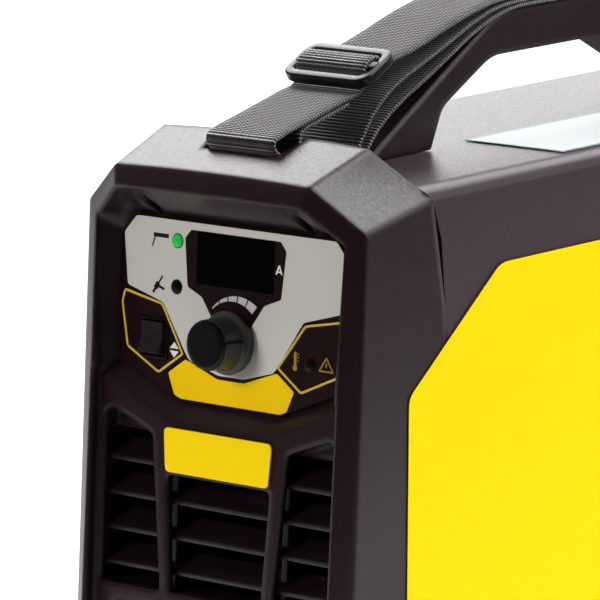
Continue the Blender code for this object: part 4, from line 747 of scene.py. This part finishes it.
def addStrap():
    # a flat section carried along the route, square to its tangent
    fine = smoothRoute(strapRoute(), strap["curveSteps"])
    reach = np.concatenate([[0], np.cumsum(np.linalg.norm(np.diff(fine, axis=0), axis=1))])
    at = np.arange(0, reach[-1], strap["ribMm"] / strap["ribSamples"])
    line = np.stack([np.interp(at, reach, fine[:, k]) for k in (0, 1)], -1)
    tangent = np.gradient(line, axis=0)
    tangent /= np.linalg.norm(tangent, axis=1)[:, None]
    normal = np.stack([-tangent[:, 1], tangent[:, 0]], -1)
    # section: flat top and bottom rows joined by half-round selvedges
    edge = strap["thick"] / 2
    flat = strap["width"] / 2 - edge
    top = np.linspace(flat, -flat, strap["cols"])
    bend = np.linspace(math.pi / 2, 3 * math.pi / 2, strap["edgeSteps"] + 2)[1:-1]
    x = np.concatenate([top, -flat + edge * np.cos(bend), top[::-1], flat - edge * np.cos(bend)])
    y = np.concatenate([0 * top + edge, edge * np.sin(bend), 0 * top - edge, -edge * np.sin(bend)])
    # weft ribs: the section swells and thins by a sine of the length
    swell = 1 + strap["ribDepth"] * np.sin(2 * np.pi * at / strap["ribMm"])[:, None]
    depth = line[:, None, 0] + normal[:, None, 0] * y[None] * swell
    rise = line[:, None, 1] + normal[:, None, 1] * y[None] * swell
    across = np.broadcast_to(x * mm, depth.shape)
    points = np.stack([across, cadLow.y + depth * mm, (strap["coverTop"] + rise) * mm], -1)
    rows, cols = depth.shape
    uv = np.stack([np.broadcast_to(at[:, None] * mm, depth.shape), across], -1)
    faces = gridFaces(rows, cols, closeCols=True)[:, ::-1].tolist()
    faces += [list(range(cols)), list(range(rows * cols - 1, (rows - 1) * cols - 1, -1))]
    addPiece("shoulderWebbing", points.reshape(-1, 3), faces, webbing, "case", ("shoulder_strap",),
             uv=uv.reshape(-1, 2))
    print("strap length", round(reach[-1]), "mm")


addStrap()


# buckle of the strap

# half sizes of the frame, widths of its bar and of the middle bar, heights over the buckle's centre
buckle = {"halfWide": 23.5, "halfLong": 12.0, "corner": 6.5, "barWide": 4.3, "low": -1.3, "high": 3.0, "edge": 0.8,
          "middleWide": 5.2, "middleHigh": 3.4, "middleEdge": 1.12, "cornerSteps": 9, "edgeSteps": 5}


def roundedBox(halfX, halfY, radius, steps):
    # four quarter circles, anticlockwise, with the outward direction at every point
    turn = (np.arange(4)[:, None] * np.pi / 2 + np.linspace(0, np.pi / 2, steps)[None]).ravel()
    way = np.stack([np.cos(turn), np.sin(turn)], -1)
    signs = np.repeat(np.array([(1, 1), (-1, 1), (-1, -1), (1, -1)]), steps, 0)
    return signs * (halfX - radius, halfY - radius) + way * radius, way


def onBuckle(x, along, over):
    # x across the strap, along it and over it in mm, about the buckle's centre
    turn = math.radians(strap["buckleAngle"])
    depth = strap["buckle"][0] + along * math.cos(turn) - over * math.sin(turn)
    rise = strap["coverTop"] + strap["buckle"][1] + along * math.sin(turn) + over * math.cos(turn)
    return np.stack([x * mm, cadLow.y + depth * mm, rise * mm], -1).reshape(-1, 3)


def addBuckle():
    # frame: a rounded bar section swept round a rounded rectangle; then a middle bar across it
    low, tall = buckle["low"], buckle["high"] - buckle["low"]
    path, way = roundedBox(buckle["halfWide"], buckle["halfLong"], buckle["corner"], buckle["cornerSteps"])
    section = roundedBox(buckle["barWide"] / 2, tall / 2, buckle["edge"], buckle["edgeSteps"])[0]
    inward = section[:, 0] - buckle["barWide"] / 2
    x, along = (path[:, None, k] + way[:, None, k] * inward for k in (0, 1))
    over = np.broadcast_to(section[:, 1] + low + tall / 2, x.shape)
    points = [onBuckle(x, along, over)]
    faces = gridFaces(*x.shape, True, True)[:, ::-1].tolist()
    tall = buckle["middleHigh"] - low
    bar = roundedBox(buckle["middleWide"] / 2, tall / 2, buckle["middleEdge"], buckle["edgeSteps"])[0]
    count, start = len(bar), x.size
    ends = np.array([[-1.0], [1.0]]) * (buckle["halfWide"] - buckle["barWide"] / 2)
    x = ends + 0 * bar[:, 0]
    along, over = (np.broadcast_to(side, x.shape) for side in (bar[:, 0], bar[:, 1] + low + tall / 2))
    points.append(onBuckle(x, along, over))
    faces += (gridFaces(2, count, closeCols=True) + start).tolist()
    faces += [list(range(start + count - 1, start - 1, -1)), list(range(start + count, start + 2 * count))]
    addPiece("strapBuckle", np.concatenate(points), faces, acetal, "case", ("strap_slider",))


addBuckle()
print("strap and buckle placed")
